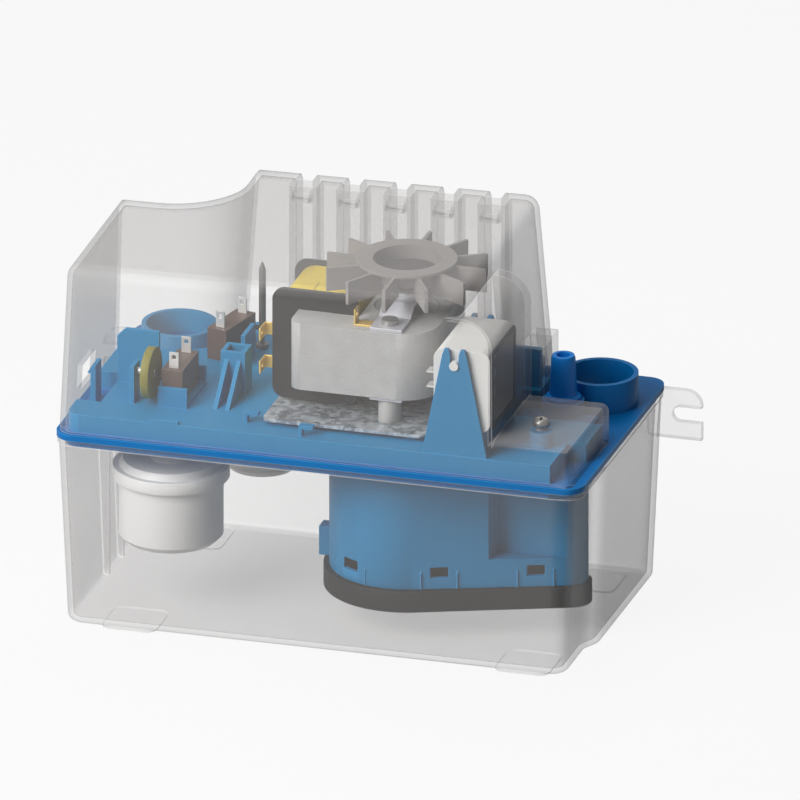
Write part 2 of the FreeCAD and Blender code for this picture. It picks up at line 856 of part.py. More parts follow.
rear_wall = Drawing(plate, "XZ_Plane", -s.rear_wall_from_front)
rear_wall.rectangle(s.rear_wall_left, s.deck_above, s.rear_wall_right, s.rear_wall_top)
pad(plate, rear_wall, s.post_thick, Reversed=True)

for front in (s.post_front, s.post_rear):
    post = Drawing(plate, "XZ_Plane", -front)
    post_middle = (s.post_head_left + s.post_head_right) / 2
    post.polygon([(s.post_left, s.deck_above), (s.post_right, s.deck_above),
                  (s.post_head_right, s.post_top - s.notch_half),
                  (s.post_head_right - 1, s.post_top), (post_middle + s.notch_half, s.post_top),
                  (post_middle + s.pin_radius, s.post_top - s.notch_half),
                  (post_middle + s.pin_radius, s.pin_above),
                  (post_middle - s.pin_radius, s.pin_above),
                  (post_middle - s.pin_radius, s.post_top - s.notch_half),
                  (post_middle - s.notch_half, s.post_top), (s.post_head_left + 1, s.post_top),
                  (s.post_head_left, s.post_top - s.notch_half)])
    pad(plate, post, s.post_thick, Reversed=True)
    hole = Drawing(plate, "XZ_Plane", -front)
    hole.circle(post_middle, s.pin_above, s.pin_radius)
    pocket(plate, hole, s.post_thick)

pads = Drawing(plate, height=s.deck_above)
for x in (s.plate_left + s.post_from_end, s.plate_right - s.post_from_end):
    for y in (s.plate_front + s.post_from_end, s.plate_back - s.post_from_end):
        pads.circle(x, y, s.plate_pad_radius)
pad(plate, pads, s.plate_above - s.deck_above)

# Holder walls of the two switches
holder = Drawing(plate, height=s.deck_above)
wall = s.holder_wall
switch_left = s.main_switch_from_left - s.switch_width / 2
switch_right = s.main_switch_from_left + s.switch_width / 2
switch_front = s.main_switch_from_front - s.switch_length / 2
switch_back = s.main_switch_from_front + s.switch_length / 2
holder.rectangle(switch_left - 1, switch_front - 1 - wall, switch_right + wall + 1,
                 switch_front - 1)
holder.rectangle(switch_left - 1, switch_back + 1, switch_right + wall + 1,
                 switch_back + 1 + wall)
pad(plate, holder, s.main_switch_low + s.switch_height / 2 - s.deck_above)
switch_seat = Drawing(plate, height=s.deck_above)
switch_seat.rectangle(switch_left - 1, switch_front - 1, switch_right + wall + 1,
                      switch_back + 1)
pad(plate, switch_seat, s.main_switch_low - s.deck_above)
cam_wall = Drawing(plate, "XZ_Plane", -(s.cam_from_front + s.cam_radius + 8))
cam_wall.polygon([(s.deck_inset + s.deck_notch_width, s.deck_above),
                  (s.cam_from_left - 2, s.deck_above),
                  (s.cam_from_left - 2, s.cam_above + s.cam_radius),
                  (s.deck_inset + s.deck_notch_width + 4, s.cam_above + s.cam_radius),
                  (s.deck_inset + s.deck_notch_width, s.cam_above + s.cam_radius - 4)])
pad(plate, cam_wall, wall, Reversed=True)
cam_stand = Drawing(plate, height=s.deck_above)
cam_stand_right = s.cam_from_left - s.cam_thick / 2 - s.cam_arm_thick - 1
cam_stand.rectangle(cam_stand_right - s.cam_stand_thick, s.cam_from_front - 5,
                    cam_stand_right, s.cam_from_front + 5)
pad(plate, cam_stand, s.cam_above + 4 - s.deck_above)
cam_hole = Drawing(plate, "YZ_Plane", cam_stand_right - s.cam_stand_thick)
cam_hole.circle(s.cam_from_front, s.cam_above, s.cam_pin)
pocket(plate, cam_hole, s.cam_stand_thick, Reversed=True)
stand = Drawing(plate, height=s.deck_above)
stand.rectangle(s.alarm_switch_from_left + 10, alarm_switch_y - 18,
                s.alarm_switch_from_left + 10 + wall, alarm_switch_y - 1)
pad(plate, stand, s.deck_above + s.switch_height - s.deck_above)

# Hook behind the cover's catch window, a box for the wires, and small clips
hook = Drawing(plate, "XZ_Plane", -s.hook_front)
hook_right = s.hook_left + s.hook_thick
hook.polygon([(s.hook_left, s.rim_thick), (hook_right, s.rim_thick), (hook_right, s.hook_top),
              (s.hook_left + s.hook_thick / 4, s.hook_top),
              (s.hook_left - s.hook_nose, s.hook_top - s.hook_step),
              (s.hook_left, s.hook_top - s.hook_step)])
pad(plate, hook, s.hook_back - s.hook_front, Reversed=True)
wire_box = Drawing(plate, height=s.deck_above)
box_end = s.wire_box_left + s.wire_box_side
box_rear = s.wire_box_front + s.wire_box_side
wire_box.rectangle(s.wire_box_left, s.wire_box_front, box_end, box_rear)
wire_box.rectangle(s.wire_box_left + wall, s.wire_box_front + wall, box_end - wall,
                   box_rear - wall)
pad(plate, wire_box, s.wire_box_top - s.deck_above)
for gusset_left in (s.wire_box_left + wall, box_end - wall * 2):
    gusset = Drawing(plate, "YZ_Plane", gusset_left)
    gusset.polygon([(s.wire_box_front - s.gusset_reach, s.deck_above),
                    (s.wire_box_front, s.deck_above), (s.wire_box_front, s.gusset_top)])
    pad(plate, gusset, wall)
for clip_left, clip_front in ((s.first_clip_left, s.first_clip_front),
                              (s.second_clip_left, s.second_clip_front)):
    clip = Drawing(plate, "XZ_Plane", -clip_front)
    clip.polygon([(clip_left, s.deck_above), (clip_left + s.clip_thick, s.deck_above),
                  (clip_left + s.clip_thick, s.deck_above + s.clip_high - s.clip_thick),
                  (clip_left + s.clip_long, s.deck_above + s.clip_high - s.clip_thick),
                  (clip_left + s.clip_long, s.deck_above + s.clip_high),
                  (clip_left, s.deck_above + s.clip_high)])
    pad(plate, clip, s.clip_wide, Reversed=True)
stop = Drawing(plate, height=s.deck_above)
stop.rectangle(s.stop_left, s.deck_inset, s.stop_left + s.stop_long, s.deck_inset + wall)
pad(plate, stop, s.stop_high)

# Holes for the shaft and the float rods
holes = Drawing(plate, height=s.deck_above)
holes.circle(s.motor_from_left, s.motor_from_front, s.shaft_radius + s.shaft_clear)
holes.circle(s.main_rod_from_left, s.main_rod_from_front, s.rod_radius + s.rod_clear)
holes.circle(s.alarm_float_from_left, alarm_float_y,
             s.alarm_rod_thin + s.rod_clear)
pocket(plate, holes, s.deck_above)
node(plate, "base_plate")

# Motor cover


def cover_form(label, offset):
    """The cover's outer form, or with an offset the form of its inside."""
    body = new_body(label)
    left = s.cover_inset + offset
    front = s.cover_inset + offset
    back = cover_back - offset
    right = s.cover_right - offset
    rear_side = s.cover_right_rear - offset
    beyond = s.recess_beyond
    high = s.cover_top + s.cover_rise + s.cover_tilt
    outline = Drawing(body, height=s.rim_thick)
    outline.rectangle(left, front, rear_side, back)
    pad(body, outline, high - s.rim_thick)
    ends = Drawing(body, "XZ_Plane")
    ends.polygon([(-beyond, s.rim_thick), (left, s.rim_thick),
                  (left + s.cover_lean_left, high), (-beyond, high)])
    ends.polygon([(rear_side, s.rim_thick), (rear_side + beyond, s.rim_thick),
                  (rear_side + beyond, high), (rear_side - s.cover_lean_right, high)])
    pocket(body, ends, s.rim_width)
    top = Drawing(body, "XZ_Plane").tip_back(s.cover_tilt, cover_back)
    top.polygon([(-beyond, s.cover_top - offset),
                 (s.rim_length, s.cover_top + s.cover_rise - offset),
                 (s.rim_length, high + beyond), (-beyond, high + beyond)])
    pocket(body, top, s.rim_width + beyond)

    nook = Drawing(body, height=s.rim_thick)
    nook.nook(s.left_inlet_from_left, left_inlet_y, s.recess_radius + offset, -beyond,
              s.rim_width + beyond)
    cone = pocket(body, nook, high - s.rim_thick, Reversed=True)
    cone.setExpression("TaperAngle", f"atan({(s.recess_lean / (high - s.rim_thick)).text})")
    round_off(body, s.cover_corner - offset, lambda edge: is_upright(edge) and (
        spot(edge).y < front.value + 1 or spot(edge).y > back.value - 1
        and spot(edge).x > rear_side.value - s.cover_lean_right.value))
    round_off(body, s.cover_edge - offset, lambda edge: not is_upright(edge)
              and spot(edge).z > (s.cover_top - offset - 2).value
              and (spot(edge).y < front.value + s.cover_corner.value
                   or spot(edge).y < left_inlet_y.value - s.recess_radius.value
                   or spot(edge).y > back.value - s.cover_corner.value
                   or spot(edge).x > rear_side.value - s.cover_lean_right.value - 2))

    shoulder_top = s.cover_top - s.cover_shoulder_drop - offset
    shoulder = Drawing(body, "XZ_Plane", -front)
    shoulder.rectangle(right - s.cover_shoulder_wide * 2, s.rim_thick, right, shoulder_top)
    pad(body, shoulder, s.cover_foot_back - offset - front, Reversed=True)
    round_off(body, s.cover_shoulder_wide - offset, lambda edge: is_level(
        edge, shoulder_top.value) and spot(edge).x > right.value - 1)

    foot_right = cover_foot_right - offset
    foot = Drawing(body, height=s.rim_thick)
    foot.polygon([(s.cover_right - 20, front), (foot_right, front),
                  (foot_right, s.cover_foot_back - offset),
                  (s.cover_right - 20, s.cover_foot_back - offset)])
    pad(body, foot, s.cover_foot_top - offset - s.rim_thick)
    round_off(body, s.cover_foot_round - offset, lambda edge: is_upright(edge)
              and spot(edge).x > foot_right.value - 1)
    round_off(body, s.cover_foot_round - offset, lambda edge: is_level(
        edge, (s.cover_foot_top - offset).value) and spot(edge).x > s.cover_right.value + 1)

    bulge = Drawing(body, height=s.rim_thick)
    bulge.rectangle(rear_side - s.cover_lean_right, s.bulge_front + offset,
                    s.bulge_right - offset, s.bulge_back - offset)
    pad(body, bulge, s.bulge_top - offset - s.rim_thick)

    flutes = Drawing(body, height=high)
    for number in range(SIZES["flute_count"]):
        middle = s.flute_first + number * s.flute_pitch
        half = s.flute_width / 2 + offset
        flutes.rectangle(middle - half, cover_back - s.flute_deep - offset,
                         middle + half, s.rim_width)
    deep = high - s.rim_thick if offset.value else high - s.flute_low
    pocket(body, flutes, deep)
    return body


cover_outside = cover_form("cover_outside", size_of(0))
screw_way = Drawing(cover_outside, height=s.cover_foot_top)
screw_way.circle(s.screw_from_left, s.screw_from_front, s.screw_hole)
pocket(cover_outside, screw_way, s.cover_wall)
catch = Drawing(cover_outside, height=s.catch_high)
catch.rectangle(0, s.catch_front, s.cover_inset + s.cover_wall * 2, s.catch_back)
pocket(cover_outside, catch, s.catch_high - s.catch_low)
cover_inside = cover_form("cover_inside", s.cover_wall)
node(joined("Cut", "motor_cover", cover_outside, cover_inside), "motor_cover")

# Cover screw

screw = new_body("cover_screw", s.screw_from_left, s.screw_from_front, s.cover_foot_top)
shape = Drawing(screw, "XZ_Plane")
shape.polygon([(0, s.screw_head_high), (0, -(s.screw_length)), (s.screw_shank, -s.screw_length + 2),
               (s.screw_shank, 0), (s.screw_head, 0), (s.screw_head, s.screw_head_high - 1),
               (s.screw_head - 1, s.screw_head_high)])
turn(screw, shape)
cross = Drawing(screw, height=s.screw_head_high)
cross.rectangle(-s.screw_head * 0.6, size_of(-0.5), s.screw_head * 0.6, size_of(0.5))
pocket(screw, cross, size_of(1.2))
cross = Drawing(screw, height=s.screw_head_high)
cross.rectangle(size_of(-0.5), -s.screw_head * 0.6, size_of(0.5), s.screw_head * 0.6)
pocket(screw, cross, size_of(1.2))
node(screw, "cover_screw")

# Outlet spigot and the ball of its non-return valve

spigot = new_body("outlet_spigot", s.outlet_from_left, s.outlet_from_front, s.outlet_boss_top)
tip = s.spigot_top - s.outlet_boss_top
shape = Drawing(spigot, "XZ_Plane")
shape.polygon([
    (s.spigot_bore, tip), (s.spigot_bore, size_of(6)), (s.valve_ball + 1, size_of(4)),
    (s.valve_ball + 1, -s.spigot_plug), (s.chamber_radius - s.spigot_fit, -s.spigot_plug),
    (s.chamber_radius - s.spigot_fit, 0), (s.spigot_flange, 0),
    (s.spigot_flange, s.spigot_flange_thick), (s.spigot_base_radius, s.spigot_flange_thick + 1),
    (s.spigot_tip_radius, tip - 1.5), (s.spigot_tip_radius - 0.5, tip)])
turn(spigot, shape)
node(spigot, "outlet_spigot")

ball = doc.addObject("Part::Sphere", "non_return_ball")
bind(ball, "Radius", s.valve_ball)
sunk = math.sqrt(SIZES["valve_ball"] ** 2 - SIZES["valve_port"] ** 2)
place(ball, s.outlet_from_left, s.outlet_from_front,
      s.chamber_floor + sunk + s.valve_rest_gap)
node(ball, "non_return_ball")

# Motor plate, posts and brackets

motor_plate = new_body("motor_plate", 0, 0, s.plate_above)
sheet_metal = Drawing(motor_plate)
sheet_metal.rounded(s.plate_left, s.plate_front, s.plate_right, s.plate_back, size_of(4))
sheet_metal.circle(s.motor_from_left, s.motor_from_front, s.bracket_cup + 3)
pad(motor_plate, sheet_metal, s.plate_thick)
node(motor_plate, "motor_plate")

post_spots = [(s.motor_from_left, s.stack_front + s.post_from_end),
              (s.motor_from_left, s.stack_back - s.post_from_end)]
posts = new_body("motor_posts", 0, 0, s.plate_above + s.plate_thick)
shape = Drawing(posts)
for x, y in post_spots:
    shape.circle(x, y, s.post_radius)
    shape.circle(x, y, s.motor_screw_hole)
pad(posts, shape, s.stack_low - s.bracket_thick - s.plate_above - s.plate_thick)
node(posts, "motor_posts")

stack = new_body("stator_stack", 0, 0, s.stack_low)
shape = Drawing(stack)
window_left = s.stack_left + s.limb_width
arm_front = s.stack_front + s.stack_arm
arm_back = s.stack_back - s.stack_arm
shape.polygon([(s.stack_left, s.stack_front), (s.stack_right, s.stack_front),
               (s.stack_right, s.stack_back), (s.stack_left, s.stack_back)])
shape.circle(s.motor_from_left, s.motor_from_front, s.rotor_bore)
for x, y in post_spots:
    shape.circle(x, y, s.motor_screw_hole)
pole_left = s.motor_from_left - s.rotor_bore - 2
shape.rectangle(window_left, arm_front, pole_left, arm_back)
pad(stack, shape, s.stack_high - s.stack_low)
round_off(stack, s.stack_round, lambda edge: is_upright(edge)
          and spot(edge).x > s.stack_right.value - 1)
round_off(stack, size_of(6), lambda edge: is_upright(edge)
          and spot(edge).x < s.stack_left.value + 1)
node(stack, "stator_stack")

bobbin_mid = s.stack_left + s.limb_width / 2
bobbin = new_body("coil_bobbin")
limb_hole = (s.stack_left - 0.2, s.stack_low - 0.2, window_left + 0.2, s.stack_high + 0.2)
for front in (arm_front, arm_back - s.flange_thick):
    cheek = Drawing(bobbin, "XZ_Plane", -front)
    cheek.rounded(s.flange_left, s.flange_low, s.flange_right, s.flange_high, s.flange_round)
    cheek.rectangle(*limb_hole)
    pad(bobbin, cheek, s.flange_thick, Reversed=True)
sleeve = Drawing(bobbin, "XZ_Plane", -arm_front)
sleeve.rectangle(s.stack_left - s.tube_wall, s.stack_low - s.tube_wall,
                 window_left + s.tube_wall, s.stack_high + s.tube_wall)
sleeve.rectangle(*limb_hole)
pad(bobbin, sleeve, arm_back - arm_front, Reversed=True)
node(bobbin, "coil_bobbin")

winding = new_body("coil_winding")
inset = s.winding_inset
coil = Drawing(winding, "XZ_Plane", -(arm_front + s.flange_thick))
coil.rounded(s.flange_left + inset, s.flange_low + inset, s.flange_right - inset,
             s.flange_high - inset, s.winding_round)
coil.rectangle(s.stack_left - s.tube_wall, s.stack_low - s.tube_wall,
               window_left + s.tube_wall, s.stack_high + s.tube_wall)
pad(winding, coil, arm_back - arm_front - 2 * s.flange_thick, Reversed=True)
node(winding, "coil_winding")

terminals = new_body("coil_terminals", s.flange_left, arm_front, 0)
for height in (s.coil_tab_low, s.coil_tab_high):
    tab = Drawing(terminals, height=height)
    tab.polygon([
        (0, 0), (0, s.blade_thick), (-s.coil_tab_out, s.blade_thick),
        (-s.coil_tab_out, -s.coil_tab_long), (-s.coil_tab_out + s.blade_thick, -s.coil_tab_long),
        (-s.coil_tab_out + s.blade_thick, 0)])
    pad(terminals, tab, s.blade_width)
    eye = Drawing(terminals, "YZ_Plane", s.blade_thick - s.coil_tab_out)
    eye.circle(s.blade_width / 2 - s.coil_tab_long, height + s.blade_width / 2, s.blade_hole)
    pocket(terminals, eye, s.blade_thick)
node(terminals, "coil_terminals")

for name, up, reach in (("upper_bearing_bracket", s.stack_high, 1),
                        ("lower_bearing_bracket", s.stack_low, -1)):
    bracket = new_body(name, s.motor_from_left, s.motor_from_front, up)
    rise = reach * s.bracket_rise
    thick = reach * s.bracket_thick
    half = (s.stack_back - s.stack_front) / 2 - 1
    strap = Drawing(bracket, "YZ_Plane", -s.bracket_width / 2)
    strap.polygon([
        (-half, 0), (-half + 15, 0), (-half + 22, rise - thick), (half - 22, rise - thick),
        (half - 15, 0), (half, 0), (half, thick), (half - 15, thick), (half - 22, rise),
        (-half + 22, rise), (-half + 15, thick), (-half, thick)])
    pad(bracket, strap, s.bracket_width)
    cup = Drawing(bracket, height=rise - thick)
    cup.circle(0, 0, s.bracket_cup)
    pad(bracket, cup, s.bush_height - s.bracket_rise + 2 * s.bracket_thick, Reversed=reach < 0)
    bore = Drawing(bracket, height=rise - thick - reach)
    bore.circle(0, 0, s.bush_outer)
    pocket(bracket, bore, s.bush_height + s.bracket_rise, Reversed=reach > 0)
    screw_ways = Drawing(bracket)
    for x, y in post_spots:
        screw_ways.circle(0, y - s.motor_from_front, s.motor_screw_hole)
    pocket(bracket, screw_ways, s.bracket_thick, Reversed=reach > 0)
    node(bracket, name)

motor_screws = new_body("motor_screws", 0, 0, s.stack_high + s.bracket_thick)
shape = Drawing(motor_screws)
heads = Drawing(motor_screws)
slots = Drawing(motor_screws, height=s.motor_screw_head_high)
for x, y in post_spots:
    shape.circle(x, y, s.motor_screw)
    heads.circle(x, y, s.motor_screw_head)
    slots.rectangle(x - s.motor_screw_head * 2, y - s.tab_thick / 2,
                    x + s.motor_screw_head * 2, y + s.tab_thick / 2)
pad(motor_screws, heads, s.motor_screw_head_high)
pad(motor_screws, shape, s.stack_high + s.bracket_thick - s.plate_above - s.plate_thick,
    Reversed=True)
pocket(motor_screws, slots, s.motor_screw_head_high / 2)
node(motor_screws, "motor_screws")

earth = new_body("earth_clip", s.earth_left, s.earth_front, s.stack_high)
tab = Drawing(earth, "XZ_Plane")
tab.polygon([(0, 0), (s.earth_long, 0), (s.earth_long, s.blade_thick),
             (s.blade_thick, s.blade_thick), (s.blade_thick, s.earth_high), (0, s.earth_high)])
pad(earth, tab, s.blade_width, Reversed=True)
eye = Drawing(earth, "YZ_Plane", s.blade_thick)
eye.circle(s.blade_width / 2, s.earth_high - s.blade_width / 2, s.blade_hole)
pocket(earth, eye, s.blade_thick)
node(earth, "earth_clip")

bushes = new_body("bearing_bushes", s.motor_from_left, s.motor_from_front, 0)
upper_bush = Drawing(bushes, height=s.stack_high + s.bracket_rise - s.bracket_thick)
upper_bush.circle(0, 0, s.bush_outer)
upper_bush.circle(0, 0, s.shaft_radius + s.bush_fit)
pad(bushes, upper_bush, s.bush_height - s.bracket_rise + 2 * s.bracket_thick)
lower_bush = Drawing(bushes, height=s.stack_low - s.bracket_rise + s.bracket_thick)
lower_bush.circle(0, 0, s.bush_outer)
lower_bush.circle(0, 0, s.shaft_radius + s.bush_fit)
pad(bushes, lower_bush, s.bush_height - s.bracket_rise + 2 * s.bracket_thick, Reversed=True)
node(bushes, "bearing_bushes")

# Rotor: core, shaft, fan and impeller turn together

core = new_body("rotor_core", s.motor_from_left, s.motor_from_front, s.stack_low)
shape = Drawing(core)
shape.circle(0, 0, s.rotor_radius)
shape.circle(0, 0, s.shaft_radius)
pad(core, shape, s.stack_high - s.stack_low)
node(core, "rotor_core")

shaft = new_body("rotor_shaft", s.motor_from_left, s.motor_from_front, 0)
impeller_top = -s.housing_depth - s.impeller_gap
shaft_drawing = Drawing(shaft, height=impeller_top - s.impeller_high + 1)
shaft_drawing.circle(0, 0, s.shaft_radius)
pad(shaft, shaft_drawing, s.fan_floor - impeller_top + s.impeller_high - 1)
node(shaft, "rotor_shaft")

fan = new_body("cooling_fan", s.motor_from_left, s.motor_from_front, 0)
skin = s.fan_skin
shape = Drawing(fan, "XZ_Plane")
shape.polygon([
    (0, s.fan_floor), (s.shaft_radius, s.fan_floor), (s.shaft_radius, s.fan_floor - s.fan_boss),
    (s.fan_hub, s.fan_floor - s.fan_boss), (s.fan_hub, s.fan_floor),
    (s.fan_eye + skin, s.fan_floor), (s.fan_eye + skin, s.fan_top - skin),
    (s.fan_ring, s.fan_top - skin), (s.fan_ring, s.fan_top), (s.fan_eye, s.fan_top),
    (s.fan_eye, s.fan_floor + skin), (0, s.fan_floor + skin)])
turn(fan, shape)
blade = Drawing(fan, height=s.fan_low)
blade.rectangle(s.fan_eye + skin / 2, -s.fan_blade_thick / 2, s.fan_tip, s.fan_blade_thick / 2)
around(fan, pad(fan, blade, s.fan_top - skin - s.fan_low), s.fan_blades)
node(fan, "cooling_fan")

impeller = new_body("impeller", s.motor_from_left, s.motor_from_front, impeller_top)
shape = Drawing(impeller, "XZ_Plane")
shape.polygon([
    (s.shaft_radius, 0), (s.impeller_radius, 0), (s.impeller_radius, -s.impeller_web),
    (s.shaft_radius + 3, -s.impeller_web), (s.shaft_radius + 3, -s.impeller_high),
    (s.shaft_radius, -s.impeller_high)])
turn(impeller, shape)
blade = Drawing(impeller, height=-s.impeller_web)
blade.rectangle(s.shaft_radius + 2, -s.impeller_blade_thick / 2, s.impeller_radius,
                s.impeller_blade_thick / 2)
around(impeller, pad(impeller, blade, s.impeller_high - s.impeller_web, Reversed=True),
       s.impeller_blades)
node(impeller, "impeller")

# Pump housing, volute plate, pump base

housing = new_body("pump_housing", s.motor_from_left, s.motor_from_front, -s.housing_depth)
shape = Drawing(housing)
shape.teardrop(s.housing_radius, s.housing_end_radius, end_reach)
shape.teardrop(s.housing_radius - s.housing_wall, s.housing_end_radius - s.housing_wall,
               end_reach)
pad(housing, shape, s.housing_depth)

# The skirt steps back in front of the discharge tube and leaves a sloping ledge.
step_x = s.step_from_motor
step_y = -s.housing_end_radius
step_cut = Drawing(housing, height=s.housing_depth)
step_cut.rectangle(step_x, -s.housing_radius, end_reach + s.housing_end_radius + 1, step_y)
pocket(housing, step_cut, s.housing_depth - s.step_above_floor)
slope_run = (s.housing_radius - s.housing_end_radius) / end_reach
slope_rise = Size(math.sqrt(1 - slope_run.value ** 2), f"sqrt(1 - {slope_run.text} ^ 2)")
front_at_step = (step_x * slope_run - s.housing_radius) / slope_rise
front_at_tube = (end_reach * slope_run - s.housing_radius) / slope_rise
ledge_low = s.step_above_floor - s.housing_wall
step_walls = Drawing(housing, height=ledge_low)
step_walls.polygon([
    (step_x - s.housing_wall, front_at_step + s.housing_wall / 2),
    (step_x, front_at_step + s.housing_wall / 2), (step_x, step_y), (end_reach, step_y),
    (end_reach, step_y + s.housing_wall), (step_x - s.housing_wall, step_y + s.housing_wall)])
pad(housing, step_walls, s.housing_depth - ledge_low)
ledge = Drawing(housing, height=ledge_low)
ledge.polygon([(step_x, front_at_step + s.housing_wall / 2),
               (end_reach, front_at_tube + s.housing_wall / 4), (end_reach, step_y + 1),
               (step_x - 1, step_y + 1), (step_x - 1, front_at_step + s.housing_wall / 2)])
pad(housing, ledge, s.housing_wall)
lug = Drawing(housing)
lug.rectangle(-s.housing_radius - s.lug_out, -s.lug_wide / 2,
              -s.housing_radius + s.housing_wall / 2, s.lug_wide / 2)
pad(housing, lug, s.lug_high)
windows = Drawing(housing, "XZ_Plane", s.housing_radius + 1)
window_low = s.housing_depth - s.window_low
for middle in (-s.housing_radius / 2, s.housing_radius * 0.67, end_reach * 0.84):
    windows.rectangle(middle - s.window_wide / 2, window_low, middle + s.window_wide / 2,
                      window_low + s.window_high)
pocket(housing, windows, s.housing_radius * 2 + 2)
node(housing, "pump_housing")

volute_plate = new_body("volute_plate", s.motor_from_left, s.motor_from_front, -s.housing_depth)
shape = Drawing(volute_plate)
shrink = s.housing_wall + s.volute_plate_gap
shape.teardrop(s.housing_radius - shrink, s.housing_end_radius - shrink, end_reach)
shape.circle(0, 0, s.shaft_radius + s.shaft_clear)
shape.circle(end_reach, 0, s.tube_bore)
pad(volute_plate, shape, s.volute_plate_thick)
node(volute_plate, "volute_plate")

base = new_body("pump_base", s.motor_from_left, s.motor_from_front,
                -s.housing_depth - s.base_depth)
shape = Drawing(base).teardrop(s.base_radius, s.base_end_radius, end_reach)
pad(base, shape, s.base_depth)
well = Drawing(base, height=s.base_depth)
well.circle(0, 0, s.volute_radius)
pocket(base, well, s.base_depth - s.base_floor)
channel = Drawing(base, height=s.base_depth)
channel.rectangle(s.volute_radius - 6, -s.volute_channel / 2, end_reach,
                  s.volute_channel / 2)
pocket(base, channel, s.base_depth - s.base_floor)
eye = Drawing(base, height=s.base_floor)
eye.circle(0, 0, s.strainer_eye)
pocket(base, eye, s.base_floor)
node(base, "pump_base")

strainer = new_body("strainer", s.motor_from_left, s.motor_from_front,
                    -s.housing_depth - s.base_depth - s.strainer_high)
shape = Drawing(strainer, "XZ_Plane")
shape.polygon([(0, 0), (s.strainer_radius, 0), (s.strainer_radius, s.strainer_high),
               (s.strainer_radius - s.strainer_wall, s.strainer_high),
               (s.strainer_radius - s.strainer_wall, s.strainer_wall), (0, s.strainer_wall)])
turn(strainer, shape)
slot = Drawing(strainer, height=s.strainer_high - s.strainer_wall)
slot.rectangle(s.strainer_radius / 2, -s.strainer_slot / 2, s.strainer_radius + 1,
               s.strainer_slot / 2)
around(strainer, pocket(strainer, slot, s.strainer_high), s.strainer_slots)
node(strainer, "strainer")

# Discharge tube up to the duct, and the duct's cover

tube = new_body("discharge_tube", tube_x, s.motor_from_front,
                -s.housing_depth + s.volute_plate_thick)
shape = Drawing(tube)
shape.circle(0, 0, s.tube_radius)
shape.circle(0, 0, s.tube_bore)
pad(tube, shape, s.housing_depth - s.volute_plate_thick)
node(tube, "discharge_tube")

edge = s.duct_cover_edge
duct_cover = new_body("duct_cover", 0, 0, -s.duct_cover_thick)
shape = Drawing(duct_cover)
lid_front = s.motor_from_front + s.housing_end_radius * 1.5
shape.polygon([
    (tube_x - s.duct_half - edge, lid_front),
    (tube_x + s.duct_half, lid_front),
    (tube_x + s.duct_half, s.outlet_from_front + s.duct_half),
    (s.outlet_from_left - s.duct_half, s.outlet_from_front + s.duct_half),
    (s.outlet_from_left - s.duct_half, s.outlet_from_front - s.duct_half - edge),
    (tube_x - s.duct_half - edge, s.outlet_from_front - s.duct_half - edge)])
pad(duct_cover, shape, s.duct_cover_thick)
node(duct_cover, "duct_cover")

seal = new_body("shaft_seal", s.motor_from_left, s.motor_from_front, s.deck_above)
shape = Drawing(seal)
shape.circle(0, 0, s.seal_radius)
shape.circle(0, 0, s.shaft_radius + s.bush_fit)
pad(seal, shape, s.seal_high)
node(seal, "shaft_seal")

# Floats


def make_float(name, x, y, low, high, radius, rim, hub):
    body = new_body(name, x, y, -low)
    shape = Drawing(body, "XZ_Plane")
    step = s.float_step
    shape.polygon([
        (0, 0), (radius - step, 0), (radius, step), (radius, high - s.float_cone * 2),
        (radius + 1, high - s.float_cone), (rim, high - s.float_cone), (rim, high),
        (rim - step, high), (rim - step - 2, high + step), (hub + 2, high + step),
        (hub, high + step + 2), (0, high + step + 2)])
    turn(body, shape)
    return body


main_float = make_float("main_float", s.main_float_from_left, s.main_float_from_front,
                        s.main_float_low, s.main_float_high, s.main_float_radius,
                        s.main_float_rim, s.main_float_hub)
node(main_float, "main_float")
alarm_float = make_float("alarm_float", s.alarm_float_from_left, alarm_float_y,
                         s.alarm_float_low, s.alarm_float_high, s.alarm_float_radius,
                         s.alarm_float_radius + 2, s.alarm_float_hub)
node(alarm_float, "alarm_float")

main_rod = new_body("main_float_rod", s.main_rod_from_left, s.main_rod_from_front, 0)
rod_low = -s.main_float_low + s.main_float_high + 3
collar_low = s.deck_above + s.rod_rest_gap
shape = Drawing(main_rod, "XZ_Plane")
shape.polygon([
    (0, rod_low), (s.rod_radius, rod_low), (s.rod_radius, collar_low),
    (s.rod_collar, collar_low), (s.rod_collar, collar_low + s.rod_collar_thick),
    (s.rod_radius, collar_low + s.rod_collar_thick), (s.rod_radius, s.main_rod_top),
    (0, s.main_rod_top)])
turn(main_rod, shape)
node(main_rod, "main_float_rod")

alarm_rod = new_body("alarm_float_rod", s.alarm_float_from_left, alarm_float_y, 0)
rod_low = -s.alarm_float_low + s.alarm_float_high + 5
shape = Drawing(alarm_rod, "XZ_Plane")
shape.polygon([
    (0, rod_low), (s.alarm_rod_thin, rod_low), (s.alarm_rod_thin, collar_low),
    (s.rod_collar, collar_low), (s.rod_collar, collar_low + s.rod_collar_thick),
    (s.alarm_rod_thin, collar_low + s.rod_collar_thick),
    (s.alarm_rod_thin, s.alarm_rod_shoulder),
    (s.alarm_rod_head, s.alarm_rod_shoulder + 2), (s.alarm_rod_head, s.alarm_rod_top - 4),
    (0.4, s.alarm_rod_top), (0, s.alarm_rod_top)])
turn(alarm_rod, shape)
node(alarm_rod, "alarm_float_rod")

# Switches


